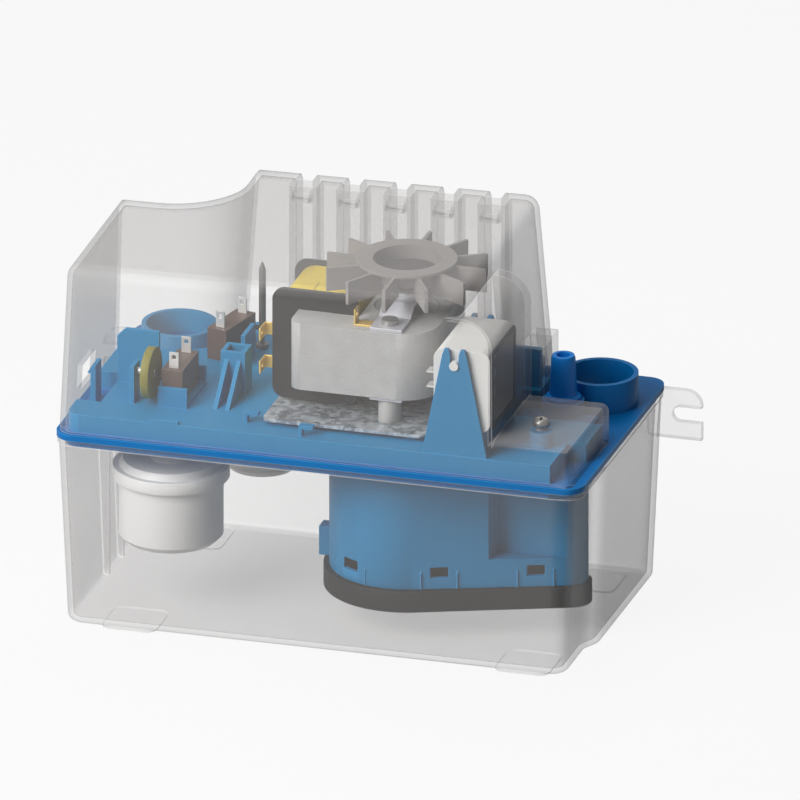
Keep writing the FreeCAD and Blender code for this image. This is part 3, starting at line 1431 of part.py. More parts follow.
def make_switch(name, x, y, low, angle, side, reach, along):
    """A switch body, its blades on top and its plunger on one long side."""
    lean = FreeCAD.Rotation(FreeCAD.Vector(0, 0, 1), -angle)

    def turned(label, height):
        made = new_body(label, x, y, height)
        made.Placement.Rotation = lean
        return made

    body = turned(name, low)
    half_width, half_length = s.switch_width / 2, s.switch_length / 2
    shape = Drawing(body)
    shape.rectangle(-half_width, -half_length, half_width, half_length)
    pad(body, shape, s.switch_height)
    well = Drawing(body, "YZ_Plane", side * half_width)
    well.circle(along, s.plunger_above - low, s.plunger_radius + s.plunger_fit)
    pocket(body, well, half_width, Reversed=side < 0)
    mounting = Drawing(body, "YZ_Plane", half_width)
    for end in (-1, 1):
        mounting.circle(end * (half_length - s.switch_hole_in), s.switch_skirt, s.switch_hole)
    pocket(body, mounting, s.switch_width)
    node(body, name)

    blades = turned(name + "_terminals", low + s.switch_height)
    shape = Drawing(blades)
    for end in (-1, 1):
        middle = end * (half_length - 3.5)
        shape.rectangle(-s.tab_width / 2, middle - s.tab_thick / 2, s.tab_width / 2,
                        middle + s.tab_thick / 2)
    pad(blades, shape, s.tab_high)
    holes = Drawing(blades, "XZ_Plane", half_length)
    holes.circle(0, s.tab_high - s.tab_width / 2, s.blade_hole)
    pocket(blades, holes, half_length * 2)
    node(blades, name + "_terminals")

    plunger = turned(name + "_plunger", 0)
    shape = Drawing(plunger, "YZ_Plane", side * 2)
    shape.circle(along, s.plunger_above, s.plunger_radius)
    pad(plunger, shape, reach - 2, Reversed=side < 0)
    node(plunger, name + "_plunger")


cam_face = s.cam_from_left + s.cam_thick / 2
make_switch("main_switch", s.main_switch_from_left, s.main_switch_from_front,
            s.main_switch_low, 0, -1, s.main_switch_from_left - cam_face - s.plunger_gap,
            s.cam_from_front + 7 - s.main_switch_from_front)
lean = math.radians(SIZES["alarm_switch_turn"])
run = s.alarm_float_from_left - s.alarm_switch_from_left
back = alarm_float_y - alarm_switch_y
rod_across = run * math.cos(lean) - back * math.sin(lean)
rod_along = run * math.sin(lean) + back * math.cos(lean)
make_switch("alarm_switch", s.alarm_switch_from_left, alarm_switch_y,
            s.deck_above, SIZES["alarm_switch_turn"], 1,
            rod_across - s.alarm_rod_head - s.plunger_gap, rod_along)

cam = new_body("switch_cam", s.cam_from_left, s.cam_from_front, s.cam_above)
shape = Drawing(cam, "YZ_Plane", -s.cam_thick / 2)
shape.circle(0, 0, s.cam_radius)
shape.circle(0, 0, s.cam_pin + s.bush_fit)
pad(cam, shape, s.cam_thick)
arm_low = s.main_rod_top + s.cam_arm_gap - s.cam_above
arm = Drawing(cam, "YZ_Plane", -s.cam_thick / 2)
arm.polygon([(s.cam_pin + 2, arm_low), (s.cam_arm, arm_low), (s.cam_arm, arm_low + 4),
             (s.cam_pin + 2, arm_low + 4)])
pad(cam, arm, s.cam_arm_thick, Reversed=True)
node(cam, "switch_cam")

cam_pin = new_body("cam_pin", cam_stand_right - s.cam_stand_thick, s.cam_from_front, s.cam_above)
shape = Drawing(cam_pin, "YZ_Plane")
shape.circle(0, 0, s.cam_pin)
pad(cam_pin, shape, cam_face - cam_stand_right + s.cam_stand_thick + s.plunger_gap / 2)
node(cam_pin, "cam_pin")

# Connector box between the blue posts

box = new_body("connector_box", 0, 0, 0)
box_front = s.post_front + s.post_thick + s.box_gap
box_back = s.post_rear - s.box_gap
pin_x = (s.post_head_left + s.post_head_right) / 2
shape = Drawing(box, "XZ_Plane", -box_front)
shape.rounded(s.box_left, s.box_low, s.box_right, s.box_top, s.box_round)
pad(box, shape, box_back - box_front, Reversed=True)
opening = Drawing(box, "YZ_Plane", s.box_right)
opening.rectangle(box_front + s.box_wall * 2, s.box_low + s.box_wall, box_back - s.box_wall,
                  s.box_top - s.box_wall)
pocket(box, opening, s.box_pocket)
bars = Drawing(box, "YZ_Plane", s.box_right - s.box_pocket)
for number in range(3):
    bar_low = s.box_low + s.box_wall * 2 + number * s.box_bar_pitch
    bars.rectangle(box_front + s.box_wall * 4, bar_low, box_back - s.box_wall * 2,
                   bar_low + s.box_bar)
pad(box, bars, s.box_pocket / 2)
for face, inward in ((box_front, False), (box_back, True)):
    socket = Drawing(box, "XZ_Plane", -face)
    socket.circle(pin_x, s.pin_above, s.pin_radius)
    pocket(box, socket, s.pin_sunk, Reversed=inward)
node(box, "connector_box")

pins = new_body("connector_pins", pin_x, 0, s.pin_above)
pin_long = s.post_thick + s.box_gap + s.pin_sunk + 1
for end, outward in ((box_front + s.pin_sunk, False), (box_back - s.pin_sunk, True)):
    shape = Drawing(pins, "XZ_Plane", -end)
    shape.circle(0, 0, s.pin_radius)
    pad(pins, shape, pin_long, Reversed=outward)
node(pins, "connector_pins")

blades = new_body("connector_blades", s.box_left, 0, 0)
for height in (s.blade_low, s.blade_high):
    for back in (s.blade_front, s.blade_rear):
        shape = Drawing(blades, height=height)
        shape.rectangle(-s.blade_out, back, 0, back + s.blade_width)
        shape.circle(-s.blade_out / 2, back + s.blade_width / 2, s.blade_hole)
        pad(blades, shape, s.blade_thick)
node(blades, "connector_blades")


def report_and_write():
    """Check every object, then write each piece to its file."""
    doc.recompute()
    failed = [thing.Name for thing in doc.Objects
              if "Invalid" in thing.State or "Error" in thing.State]
    if failed:
        raise RuntimeError(f"these failed: {failed}")
    for thing in doc.Objects:
        if thing.TypeId in ("PartDesign::Pocket", "PartDesign::Groove"):
            if thing.Shape.Volume > thing.BaseFeature.Shape.Volume - 1e-3:
                raise RuntimeError(f"{thing.Name} cuts nothing")
    for thing in NODES:
        shape = thing.Shape
        if shape.isNull() or not shape.isValid():
            raise RuntimeError(f"{thing.Label} has no sound shape")
        shape.exportStep(f"parts/{thing.Label}.step")
        print(f"{thing.Label}: {len(shape.Solids)} solids, {shape.Volume / 1000:.2f} cm3")


report_and_write()
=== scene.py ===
# %% [markdown]
# # A condensate pump with see-through housings
#
# The pump stands in a clear tank. Its blue base plate, its motor and its two floats
# can all be seen through the housings, so nearly every piece of it shows. The shapes
# come from the imported model. This lesson gives each piece its finish, softens its
# edges, adds the small things that a moulder and a fitter leave behind and one dark
# frame of painted shade, and sets up the light and the camera.

import math

import bmesh
import bpy
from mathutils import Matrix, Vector


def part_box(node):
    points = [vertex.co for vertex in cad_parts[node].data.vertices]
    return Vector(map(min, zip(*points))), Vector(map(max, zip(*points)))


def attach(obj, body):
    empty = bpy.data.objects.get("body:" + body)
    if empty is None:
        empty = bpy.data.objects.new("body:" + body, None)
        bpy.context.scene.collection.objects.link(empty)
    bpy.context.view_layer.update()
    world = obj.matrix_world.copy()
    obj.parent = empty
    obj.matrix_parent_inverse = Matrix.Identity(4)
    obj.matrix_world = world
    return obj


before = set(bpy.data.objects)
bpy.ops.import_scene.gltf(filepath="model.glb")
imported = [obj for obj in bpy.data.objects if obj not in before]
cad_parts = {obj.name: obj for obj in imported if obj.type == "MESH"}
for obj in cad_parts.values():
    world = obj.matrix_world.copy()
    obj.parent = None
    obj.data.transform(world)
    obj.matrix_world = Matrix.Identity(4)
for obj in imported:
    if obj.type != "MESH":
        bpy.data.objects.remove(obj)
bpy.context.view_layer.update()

# %% [markdown]
# ## Shader sums written as sums
#
# A finish is a small sum of patterns. Blender holds it as nodes and links, which are
# slow to read in a script. A socket can be wrapped in a small class instead, so that
# `0.3 + 0.1 * speckle` adds the Math nodes by itself. Colours go through Mix nodes,
# because a Math node would turn them grey.


# %% A socket that can be used in sums
class Wire:
    """One output of a node, for use in sums."""

    def __init__(self, nodes, socket):
        self.nodes = nodes
        self.socket = socket

    def sum(self, operation, first, second):
        return self.nodes.node("ShaderNodeMath", {"operation": operation}, [first, second])

    def __add__(self, other):
        return self.sum("ADD", self, other)

    def __radd__(self, other):
        return self.sum("ADD", other, self)

    def __mul__(self, other):
        return self.sum("MULTIPLY", self, other)

    def __rmul__(self, other):
        return self.sum("MULTIPLY", other, self)

    def __gt__(self, other):
        return self.sum("GREATER_THAN", self, other)

    def __lt__(self, other):
        return self.sum("LESS_THAN", self, other)

    def __or__(self, other):
        """The larger of the two, so either mask is enough."""
        return self.sum("MAXIMUM", self, other)


# %% [markdown]
# ## One place where nodes are made
#
# A material and the world both hold a node tree. One method adds a node to either: it
# takes the node's type, its settings, and what its sockets get, and hands back one
# output as a wire.


# %% A node tree
class Nodes:
    """A node tree to which nodes are added."""

    def __init__(self, tree):
        self.tree = tree

    def node(self, kind, settings, inputs, output=0):
        """Any node: its settings first, then the values or links of its sockets."""
        made = self.tree.nodes.new(kind)
        for setting, value in settings.items():
            setattr(made, setting, value)
        pairs = inputs.items() if isinstance(inputs, dict) else enumerate(inputs)
        for socket, value in pairs:
            if isinstance(value, Wire):
                self.tree.links.new(value.socket, made.inputs[socket])
            else:
                made.inputs[socket].default_value = value
        return Wire(self, made.outputs[output])

    def join(self, wire, name, socket):
        """Link a wire to a node that is already in the tree."""
        self.tree.links.new(wire.socket, self.tree.nodes[name].inputs[socket])


# %% [markdown]
# ## One finish, one material
#
# Every finish of the pump ends in a single Principled shader. What is the same all over
# the piece is set on the shader's own socket. What changes over it, such as the colour
# of a zinc crystal, is linked. A bump is always a small height in metres, so that it
# keeps its size on every piece.
#
# Sharp edges get a mask of their own. A Bevel node gives the normal that a rounded edge
# would have. On a flat face it agrees with the face's normal, and near an edge it turns
# away, so the dot product of the two falls.

# %% A finish and its nodes
FLAT_AGREES, EDGE_AGREES = 0.995, 0.86


class Finish(Nodes):
    """A material built from one Principled shader."""

    def __init__(self, name, **same_all_over):
        self.material = bpy.data.materials.new(name)
        self.material.use_nodes = True
        super().__init__(self.material.node_tree)
        self.shader = self.tree.nodes["Principled BSDF"]
        for socket, value in same_all_over.items():
            self.shader.inputs[socket.replace("_", " ")].default_value = value
        self.place = self.node("ShaderNodeTexCoord", {}, {}, "Object")

    def link(self, socket, wire):
        self.join(wire, "Principled BSDF", socket)

    def speckle(self, per_metre, detail=3.0, stretch=(1, 1, 1)):
        """Cloudy noise from 0 to 1 in the piece's own space, stretched on request."""
        place = self.place
        if stretch != (1, 1, 1):
            place = self.node("ShaderNodeVectorMath", {"operation": "MULTIPLY"},
                              [place, stretch])
        return self.node("ShaderNodeTexNoise", {},
                         {"Vector": place, "Scale": per_metre, "Detail": detail}, "Fac")

    def blend(self, share, first, second):
        """A colour between two, by a share from 0 to 1."""
        return self.node("ShaderNodeMix", {"data_type": "RGBA"},
                         {0: share, 6: first, 7: second}, 2)

    def sharp(self, radius):
        """1 on a sharp edge and 0 on a flat face, by how far a bevelled normal turns."""
        rounded = self.node("ShaderNodeBevel", {"samples": 4}, {"Radius": radius}, "Normal")
        straight = self.node("ShaderNodeNewGeometry", {}, {}, "Normal")
        agree = self.node("ShaderNodeVectorMath", {"operation": "DOT_PRODUCT"},
                          [rounded, straight], "Value")
        return self.node("ShaderNodeMapRange", {},
                         {"Value": agree, "From Min": FLAT_AGREES, "From Max": EDGE_AGREES})

    def bump(self, height, depth):
        """Raise the surface by height, from 0 to 1, times a depth in metres."""
        self.link("Normal", self.node("ShaderNodeBump", {},
                                      {"Height": height, "Distance": depth, "Strength": 1.0}))


# %% Colours
def paint(red, green, blue):
    """A colour as a screen shows it, from 0 to 255, in the numbers a shader takes."""
    shown = [part / 255 for part in (red, green, blue)]
    return tuple(part / 12.92 if part < 0.04045 else ((part + 0.055) / 1.055) ** 2.4
                 for part in shown) + (1.0,)


def tint(colour, factor, lift=0.0):
    """The same colour, darker or paler."""
    return tuple(min(1.0, part * factor + lift) for part in colour[:3]) + (1.0,)


print("paint 128 grey as", round(paint(128, 128, 128)[0], 3))

# %% [markdown]
# ## Clear housings
#
# The tank and the motor cover are thin clear mouldings, slightly grey. Real glass
# nodes would bend the view of the motor, which a wall of 2.5 mm hardly does, and
# would take long to render. A low alpha gives the same view: about a twentieth where a
# wall faces the eye. The colour is a middle grey, because a pale one would turn the
# dark pieces behind it milky. Faces seen at a slant hold more plastic in the line of
# sight, so the alpha rises there. The colour darkens there too, partly as the tint of
# the thicker plastic and partly as painted shade, which draws the side walls of a clear
# box. The sharp edges are painted paler, a painted highlight, and are less clear.

# %% Clear plastic
FACE_ON_ALPHA, SLANTED_ALPHA, EDGE_ALPHA = 0.055, 0.74, 0.24
# The pale edge colour is a painted highlight on the sharp edges.
CLEAR_EDGE_SEEN, CLEAR_EDGE_HIGHLIGHT = 0.0011, paint(236, 234, 233)
WALL_WAVES = 0.00004


def clear_plastic(name, colour, slanted_colour):
    finish = Finish(name, Roughness=0.22, IOR=1.46, Specular_IOR_Level=0.3)
    slant = finish.node("ShaderNodeLayerWeight", {}, {"Blend": 0.22}, "Facing")
    cloudy = finish.blend(finish.speckle(35, 2.0), colour, tint(colour, 0.94))
    edge = finish.sharp(CLEAR_EDGE_SEEN)
    # Painted shade: slanted faces blend to the darker colour, partly the tint of thicker
    # plastic.
    body = finish.blend(slant, cloudy, slanted_colour)
    # Painted highlight: sharp edges blend to the pale edge colour.
    finish.link("Base Color", finish.blend(edge, body, CLEAR_EDGE_HIGHLIGHT))
    finish.link("Alpha", FACE_ON_ALPHA + (SLANTED_ALPHA - FACE_ON_ALPHA) * slant
                + EDGE_ALPHA * edge)
    finish.bump(finish.speckle(60, 1.0), WALL_WAVES)
    return finish.material


TANK_CLEAR = clear_plastic("tank_clear", paint(200, 197, 195), paint(122, 119, 118))
COVER_CLEAR = clear_plastic("cover_clear", paint(194, 191, 189), paint(118, 115, 114))
print("clear plastics:", TANK_CLEAR.name, COVER_CLEAR.name)

# %% [markdown]
# ## Coloured mouldings
#
# Injection mouldings are one colour all through. What shows is a fine grain from the
# spark-eroded mould, and where the plastic flowed slowly, a drift in gloss and a
# slightly paler bloom. Two faint noises draw them: a fine one for the grain, and a
# slow one for both the gloss and the bloom. The sharp edges are painted a little
# paler, a painted highlight where a rounded edge would catch the light.
# One function makes each plain moulding, and only the colour, gloss and shine change.

# %% Moulded plastic
FLOW_PER_METRE, PITS_PER_METRE, PIT_DEPTH = 22, 2600, 0.000012
# How far the sharp edges reach, and how strongly they are painted paler as a painted highlight.
EDGE_SEEN, EDGE_HIGHLIGHT_SHARE = 0.0008, 0.6
GLOSS_DRIFT = 0.12


def moulded(name, colour, gloss=0.42, grain=PIT_DEPTH, shine=0.5):
    finish = Finish(name, IOR=1.5, Specular_IOR_Level=shine)
    flow = finish.speckle(FLOW_PER_METRE, 2.0)
    body = finish.blend(flow, colour, tint(colour, 1.12, 0.004))
    # Painted highlight: sharp edges blend towards a paler copy of the colour.
    edge_highlight = EDGE_HIGHLIGHT_SHARE * finish.sharp(EDGE_SEEN)
    finish.link("Base Color", finish.blend(edge_highlight, body, tint(colour, 1.45, 0.03)))
    finish.link("Roughness", gloss - GLOSS_DRIFT / 2 + GLOSS_DRIFT * flow)
    finish.bump(finish.speckle(PITS_PER_METRE, 1.0), grain)
    return finish.material


BLUE = moulded("blue_moulding", paint(0, 116, 162), 0.42, shine=0.22)
SPIGOT_BLUE = moulded("spigot_blue", paint(10, 126, 214), 0.4, shine=0.3)
BLACK = moulded("black_moulding", paint(20, 18, 17), 0.55, shine=0.25)
FLOAT_WHITE = moulded("float_white", paint(212, 211, 209), 0.45)
BOX_WHITE = moulded("box_white", paint(206, 205, 202), 0.45, shine=0.3)
BOBBIN = moulded("bobbin_black", paint(38, 36, 35), 0.6, shine=0.25)
SWITCH_BROWN = moulded("switch_brown", paint(84, 64, 56), 0.5)
CAM_OLIVE = moulded("cam_olive", paint(122, 116, 40), 0.5, shine=0.3)
SEAL_BLACK = moulded("seal_black", paint(24, 24, 25), 0.7, 0.00003)
print("plain mouldings, from", BLUE.name, "to", SEAL_BLACK.name)

# %% [markdown]
# ## Two mouldings with painted light and shade
#
# The base plate is one blue, painted as two: a paler, lit copy under the clear cover,
# and a deeper, shaded copy in its thick rim and round the outlets, where nothing lies
# over it. The fan's hub is painted darker than its ring, a painted shade down in the
# hollow. Comparing a place on the piece with a height, a line or a radius gives a mask,
# and the mask blends the two tones.

# %% Base plate in a painted lit blue and shaded blue
RIM_TOP, OUTLETS_LEFT, OUTLETS_FRONT = 0.0998, 0.0885, -0.006


def plate_moulding():
    """The base plate's blue, as a lit and a shaded copy: paler under the cover, deeper in its
    rim and round the uncovered outlets.
    """
    finish = Finish("plate_blue", IOR=1.5, Specular_IOR_Level=0.22)
    across, inward, height = (finish.node("ShaderNodeSeparateXYZ", {}, [finish.place], axis)
                              for axis in "XYZ")
    uncovered = (height < RIM_TOP) | (across > OUTLETS_LEFT) * (inward > OUTLETS_FRONT)
    flow = finish.speckle(FLOW_PER_METRE, 2.0)
    covered_lit_blue = finish.blend(flow, paint(0, 116, 162), paint(6, 122, 168))
    bare_shaded_blue = finish.blend(flow, paint(3, 96, 159), paint(6, 102, 166))
    # Painted light and shade: a paler copy of the blue under the cover, a deeper one where
    # uncovered.
    body = finish.blend(uncovered, covered_lit_blue, bare_shaded_blue)
    # Painted highlight: sharp edges blend towards a paler blue.
    edge_highlight = EDGE_HIGHLIGHT_SHARE * finish.sharp(EDGE_SEEN)
    finish.link("Base Color", finish.blend(edge_highlight, body, paint(58, 158, 212)))
    finish.link("Roughness", 0.36 + GLOSS_DRIFT * flow)
    finish.bump(finish.speckle(PITS_PER_METRE, 1.0), PIT_DEPTH)
    return finish.material


PLATE_BLUE = plate_moulding()
print("base plate:", PLATE_BLUE.name)

# %% Fan with a dark hub
FAN_AXIS = (0.027, -0.013, 0.0)
HUB_ENDS, RING_STARTS = 0.0156, 0.0164


def fan_moulding():
    """Grey plastic, painted darker down in the hub as painted shade."""
    finish = Finish("fan_grey", IOR=1.5, Specular_IOR_Level=0.3)
    off_axis = finish.node("ShaderNodeVectorMath", {"operation": "SUBTRACT"},
                           [finish.place, FAN_AXIS])
    flat = finish.node("ShaderNodeVectorMath", {"operation": "MULTIPLY"}, [off_axis, (1, 1, 0)])
    radius = finish.node("ShaderNodeVectorMath", {"operation": "LENGTH"}, [flat], "Value")
    ring = finish.node("ShaderNodeMapRange", {},
                       {"Value": radius, "From Min": HUB_ENDS, "From Max": RING_STARTS})
    flow = finish.speckle(FLOW_PER_METRE, 2.0)
    ring_grey = finish.blend(flow, paint(138, 134, 132), paint(150, 146, 143))
    # Painted shade: inside the ring the hub is painted a darker grey.
    finish.link("Base Color", finish.blend(ring, paint(62, 59, 58), ring_grey))
    finish.link("Roughness", 0.5 + GLOSS_DRIFT * flow)
    finish.bump(finish.speckle(PITS_PER_METRE, 1.0), PIT_DEPTH)
    return finish.material


FAN_GREY = fan_moulding()
print("fan:", FAN_GREY.name, "with a hub of", round(HUB_ENDS * 2000, 1), "mm")

# %% [markdown]
# ## Metals
#
# A metal is mostly its reflections, so its roughness pattern matters more than its
# colour. Zinc grows in flat crystals, which Voronoi cells draw. Ground and drawn
# steel carry fine scratches along one direction, made with noise that is stretched
# hard. Stamped sheet only shows a faint cloud. The stator is a stack of thin sheets,
# and a sine wave along its height draws their edges.


# %% Sheet and bar metals
def metal(name, colour, rough=0.35, along=(1, 1, 1), scratch=0.000006, share=0.7):
    finish = Finish(name, Metallic=share)
    marks = finish.speckle(900, 2.0, along)
    cloud = finish.speckle(60, 2.0)
    finish.link("Base Color", finish.blend(cloud, colour, tint(colour, 0.82)))
    finish.link("Roughness", rough - 0.06 + 0.14 * marks)
    finish.bump(marks, scratch)
    return finish.material


ALONG_ROD = (1, 1, 0.02)
BRACKET = metal("bracket_steel", paint(206, 206, 212), 0.45, share=0.4)
POST_STEEL = metal("post_steel", paint(184, 182, 179), 0.5, share=0.2)
GROUND_STEEL = metal("ground_steel", paint(198, 197, 195), 0.26, ALONG_ROD)
ROD_STEEL = metal("rod_steel", paint(122, 120, 117), 0.38, ALONG_ROD)
SCREW_STEEL = metal("screw_steel", paint(172, 170, 166), 0.3)
TINNED = metal("tinned_brass", paint(232, 230, 226), 0.3, share=0.5)
BRASS = metal("brass_strip", paint(240, 204, 112), 0.3, share=0.6)
BRONZE = metal("sintered_bronze", paint(168, 122, 76), 0.55, (1, 1, 1), 0.00003)
ROTOR_ALLOY = metal("rotor_alloy", paint(188, 188, 186), 0.4, (1, 1, 0.05))
print("bar and sheet metals, from", BRACKET.name, "to", ROTOR_ALLOY.name)

# %% Galvanised motor plate
CRYSTALS_PER_METRE = 380.0
CRYSTAL_DEPTH = 0.00006


def zinc_sheet():
    """Hot-dipped sheet: each crystal reflects by its own amount."""
    finish = Finish("zinc_sheet", Metallic=0.6)
    cells = {"Vector": finish.place, "Scale": CRYSTALS_PER_METRE, "Randomness": 1.0}
    crystal = finish.node("ShaderNodeTexVoronoi", {"feature": "F1"}, cells, "Color")
    shade = finish.node("ShaderNodeSeparateColor", {}, [crystal])
    level = 0.75 * shade + 0.25 * finish.speckle(900, 3.0)
    finish.link("Base Color", finish.blend(level, paint(112, 120, 128), paint(214, 220, 225)))
    finish.link("Roughness", 0.3 + 0.3 * shade)
    finish.bump(level, CRYSTAL_DEPTH)
    return finish.material


ZINC = zinc_sheet()
print("zinc crystals about", round(1000 / CRYSTALS_PER_METRE, 1), "mm wide")

# %% Stator stack
SHEET_WAVE = 6283.0
SHEET_GROOVE = 0.000025


def laminations():
    """The edges of half-millimetre sheets, varnished: one wave for each pair."""
    finish = Finish("laminations", Metallic=0.1)
    height = finish.node("ShaderNodeSeparateXYZ", {}, [finish.place], "Z")
    sheet_edge = finish.node("ShaderNodeMath", {"operation": "SINE"}, [height * SHEET_WAVE])
    line = 0.5 + 0.5 * sheet_edge
    cloud = finish.speckle(120, 3.0)
    share = 0.3 * line + 0.7 * cloud
    finish.link("Base Color", finish.blend(share, paint(160, 159, 157), paint(188, 187, 185)))
    finish.link("Roughness", 0.42 + 0.16 * cloud)
    finish.bump(line, SHEET_GROOVE)
    return finish.material


LAMINATIONS = laminations()
print("stator wave:", round(2000 * math.pi / SHEET_WAVE, 2), "mm")

# %% [markdown]
# ## Winding tape
#
# The copper coil is wrapped in yellow polyester tape. Each turn of tape overlaps the
# last, so its surface has low steps, and it wrinkles a little at the corners. A saw
# wave along the limb gives the steps and a soft noise gives the wrinkles.

# %% Yellow tape
LAPS_PER_METRE = 95.0
LAP_HEIGHT = 0.00018


def winding_tape():
    finish = Finish("winding_tape", IOR=1.5, Specular_IOR_Level=0.25)
    along = finish.node("ShaderNodeSeparateXYZ", {}, [finish.place], "Y")
    lap = finish.node("ShaderNodeMath", {"operation": "FRACT"}, [along * LAPS_PER_METRE])
    wrinkle = finish.speckle(240, 3.0, (1, 0.35, 1))
    finish.link("Base Color", finish.blend(0.35 * lap + 0.4 * wrinkle, paint(232, 200, 0),
                                           paint(244, 218, 28)))
    finish.link("Roughness", 0.26 + 0.2 * wrinkle)
    finish.bump(0.6 * lap + 0.4 * wrinkle, LAP_HEIGHT)
    return finish.material


TAPE = winding_tape()
print("tape laps", round(1000 / LAPS_PER_METRE, 1), "mm apart")

# %% [markdown]
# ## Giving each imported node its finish
#
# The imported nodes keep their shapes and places. Only their material slots change.
# Edges straight from a CAD model are perfectly sharp, and no real edge is, so a
# small bevel catches the light along them. The weld before it joins the corner
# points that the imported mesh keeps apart. The two clear housings keep their thin edges
# as they are, and they cast no shadow, because clear plastic lets nearly all light by.

# %% Finish of each node
FINISHES = {
    TANK_CLEAR: ["tank"],
    COVER_CLEAR: ["motor_cover"],
    SPIGOT_BLUE: ["outlet_spigot"],
    PLATE_BLUE: ["base_plate"],
    BLUE: ["pump_housing", "discharge_tube", "duct_cover"],
    BLACK: ["volute_plate", "pump_base", "strainer"],
    FLOAT_WHITE: ["main_float", "alarm_float", "main_float_rod", "non_return_ball",
                  "impeller"],
    BOX_WHITE: ["connector_box", "connector_pins"],
    BOBBIN: ["coil_bobbin", "main_switch_plunger", "alarm_switch_plunger"],
    TAPE: ["coil_winding"],
    FAN_GREY: ["cooling_fan"],
    SWITCH_BROWN: ["main_switch", "alarm_switch"],
    CAM_OLIVE: ["switch_cam"],
    SEAL_BLACK: ["shaft_seal"],
    ZINC: ["motor_plate"],
    POST_STEEL: ["motor_posts"],
    LAMINATIONS: ["stator_stack"],
    BRACKET: ["upper_bearing_bracket", "lower_bearing_bracket"],
    GROUND_STEEL: ["rotor_shaft", "cam_pin"],
    ROD_STEEL: ["alarm_float_rod"],
    SCREW_STEEL: ["cover_screw", "motor_screws"],
    TINNED: ["connector_blades", "main_switch_terminals", "alarm_switch_terminals"],
    BRASS: ["coil_terminals", "earth_clip"],
    BRONZE: ["bearing_bushes"],
    ROTOR_ALLOY: ["rotor_core"],
}
SOFTER = {"tank": 0.0, "motor_cover": 0.0, "base_plate": 0.0004, "pump_housing": 0.0004,
          "connector_box": 0.0008, "stator_stack": 0.0003, "cooling_fan": 0.0004,
          "main_float": 0.0008, "alarm_float": 0.0008, "pump_base": 0.0006}
USUAL_SOFTENING = 0.0002
WELD_REACH = 0.00001
SHARPER_THAN = math.radians(40)


def soften(thing, width):
    """Join split corners, then round the sharp edges and shade the rest smoothly."""
    weld = thing.modifiers.new("weld", "WELD")
    weld.merge_threshold = WELD_REACH
    if width:
        bevel = thing.modifiers.new("bevel", "BEVEL")
        bevel.width = width
        bevel.segments = 2
        bevel.limit_method = "ANGLE"
        bevel.angle_limit = SHARPER_THAN
        bevel.harden_normals = True
        bevel.use_clamp_overlap = True


finished = set()
for material, names in FINISHES.items():
    for name in names:
        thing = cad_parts[name]
        thing.data.materials.clear()
        thing.data.materials.append(material)
        soften(thing, SOFTER.get(name, USUAL_SOFTENING))
        finished.add(name)
for name in ("tank", "motor_cover"):
    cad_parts[name].visible_shadow = False
bare = sorted(set(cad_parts) - finished)
print("nodes finished:", len(finished), "left bare:", bare)

# %% [markdown]
# ## Small mouldings and a painted shade
#
# Four things are too small for the drawing and still catch the eye. A hood closes the
# head of each vent flute inside the cover. Each snap window of the skirt sits in a
# tongue, cut free on both sides. A dark frame round the mouth of the connector box is
# painted shade: a dark sheet put where the box's right side lies in shadow. The tape on
# the coil ends in a loose tab. Each piece is one mesh, and rides on the body that
# carries it. Its places are in millimetres from the rim's left front corner, as in the
# drawing, apart from the tab, which starts from the coil's own box.


# %% Places and objects
def at(across, deep, high):
    """The drawing's millimetres as a place in the scene."""
    return Vector((across - 131.0, deep - 75.0, high + 96.5)) / 1000


def wide(millimetres):
    """A move to the right."""
    return Vector((millimetres, 0, 0)) / 1000


def piece_from(name, mesh, material, width):
    """One object out of a finished mesh, with softened edges."""
    bmesh.ops.recalc_face_normals(mesh, faces=mesh.faces[:])
    data = bpy.data.meshes.new(name)
    mesh.to_mesh(data)
    mesh.free()
    data.materials.append(material)
    thing = bpy.data.objects.new(name, data)
    bpy.context.scene.collection.objects.link(thing)
    soften(thing, width)
    return thing


# %% Prisms and the pieces made of them
def prism(mesh, outline, lift):
    """A closed prism: a flat outline and the same outline moved by lift."""
    near = [mesh.verts.new(point) for point in outline]
    far = [mesh.verts.new(point + lift) for point in outline]
    mesh.faces.new(near)
    mesh.faces.new(far[::-1])
    for here in range(len(near)):
        after = (here + 1) % len(near)
        mesh.faces.new((near[after], near[here], far[here], far[after]))


def small_piece(name, prisms, material, width=0.00015):
    """One object out of several prisms, on the pump's frame."""
    mesh = bmesh.new()
    for outline, lift in prisms:
        prism(mesh, outline, lift)
    thing = piece_from(name, mesh, material, width)
    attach(thing, "pump_frame")
    return thing


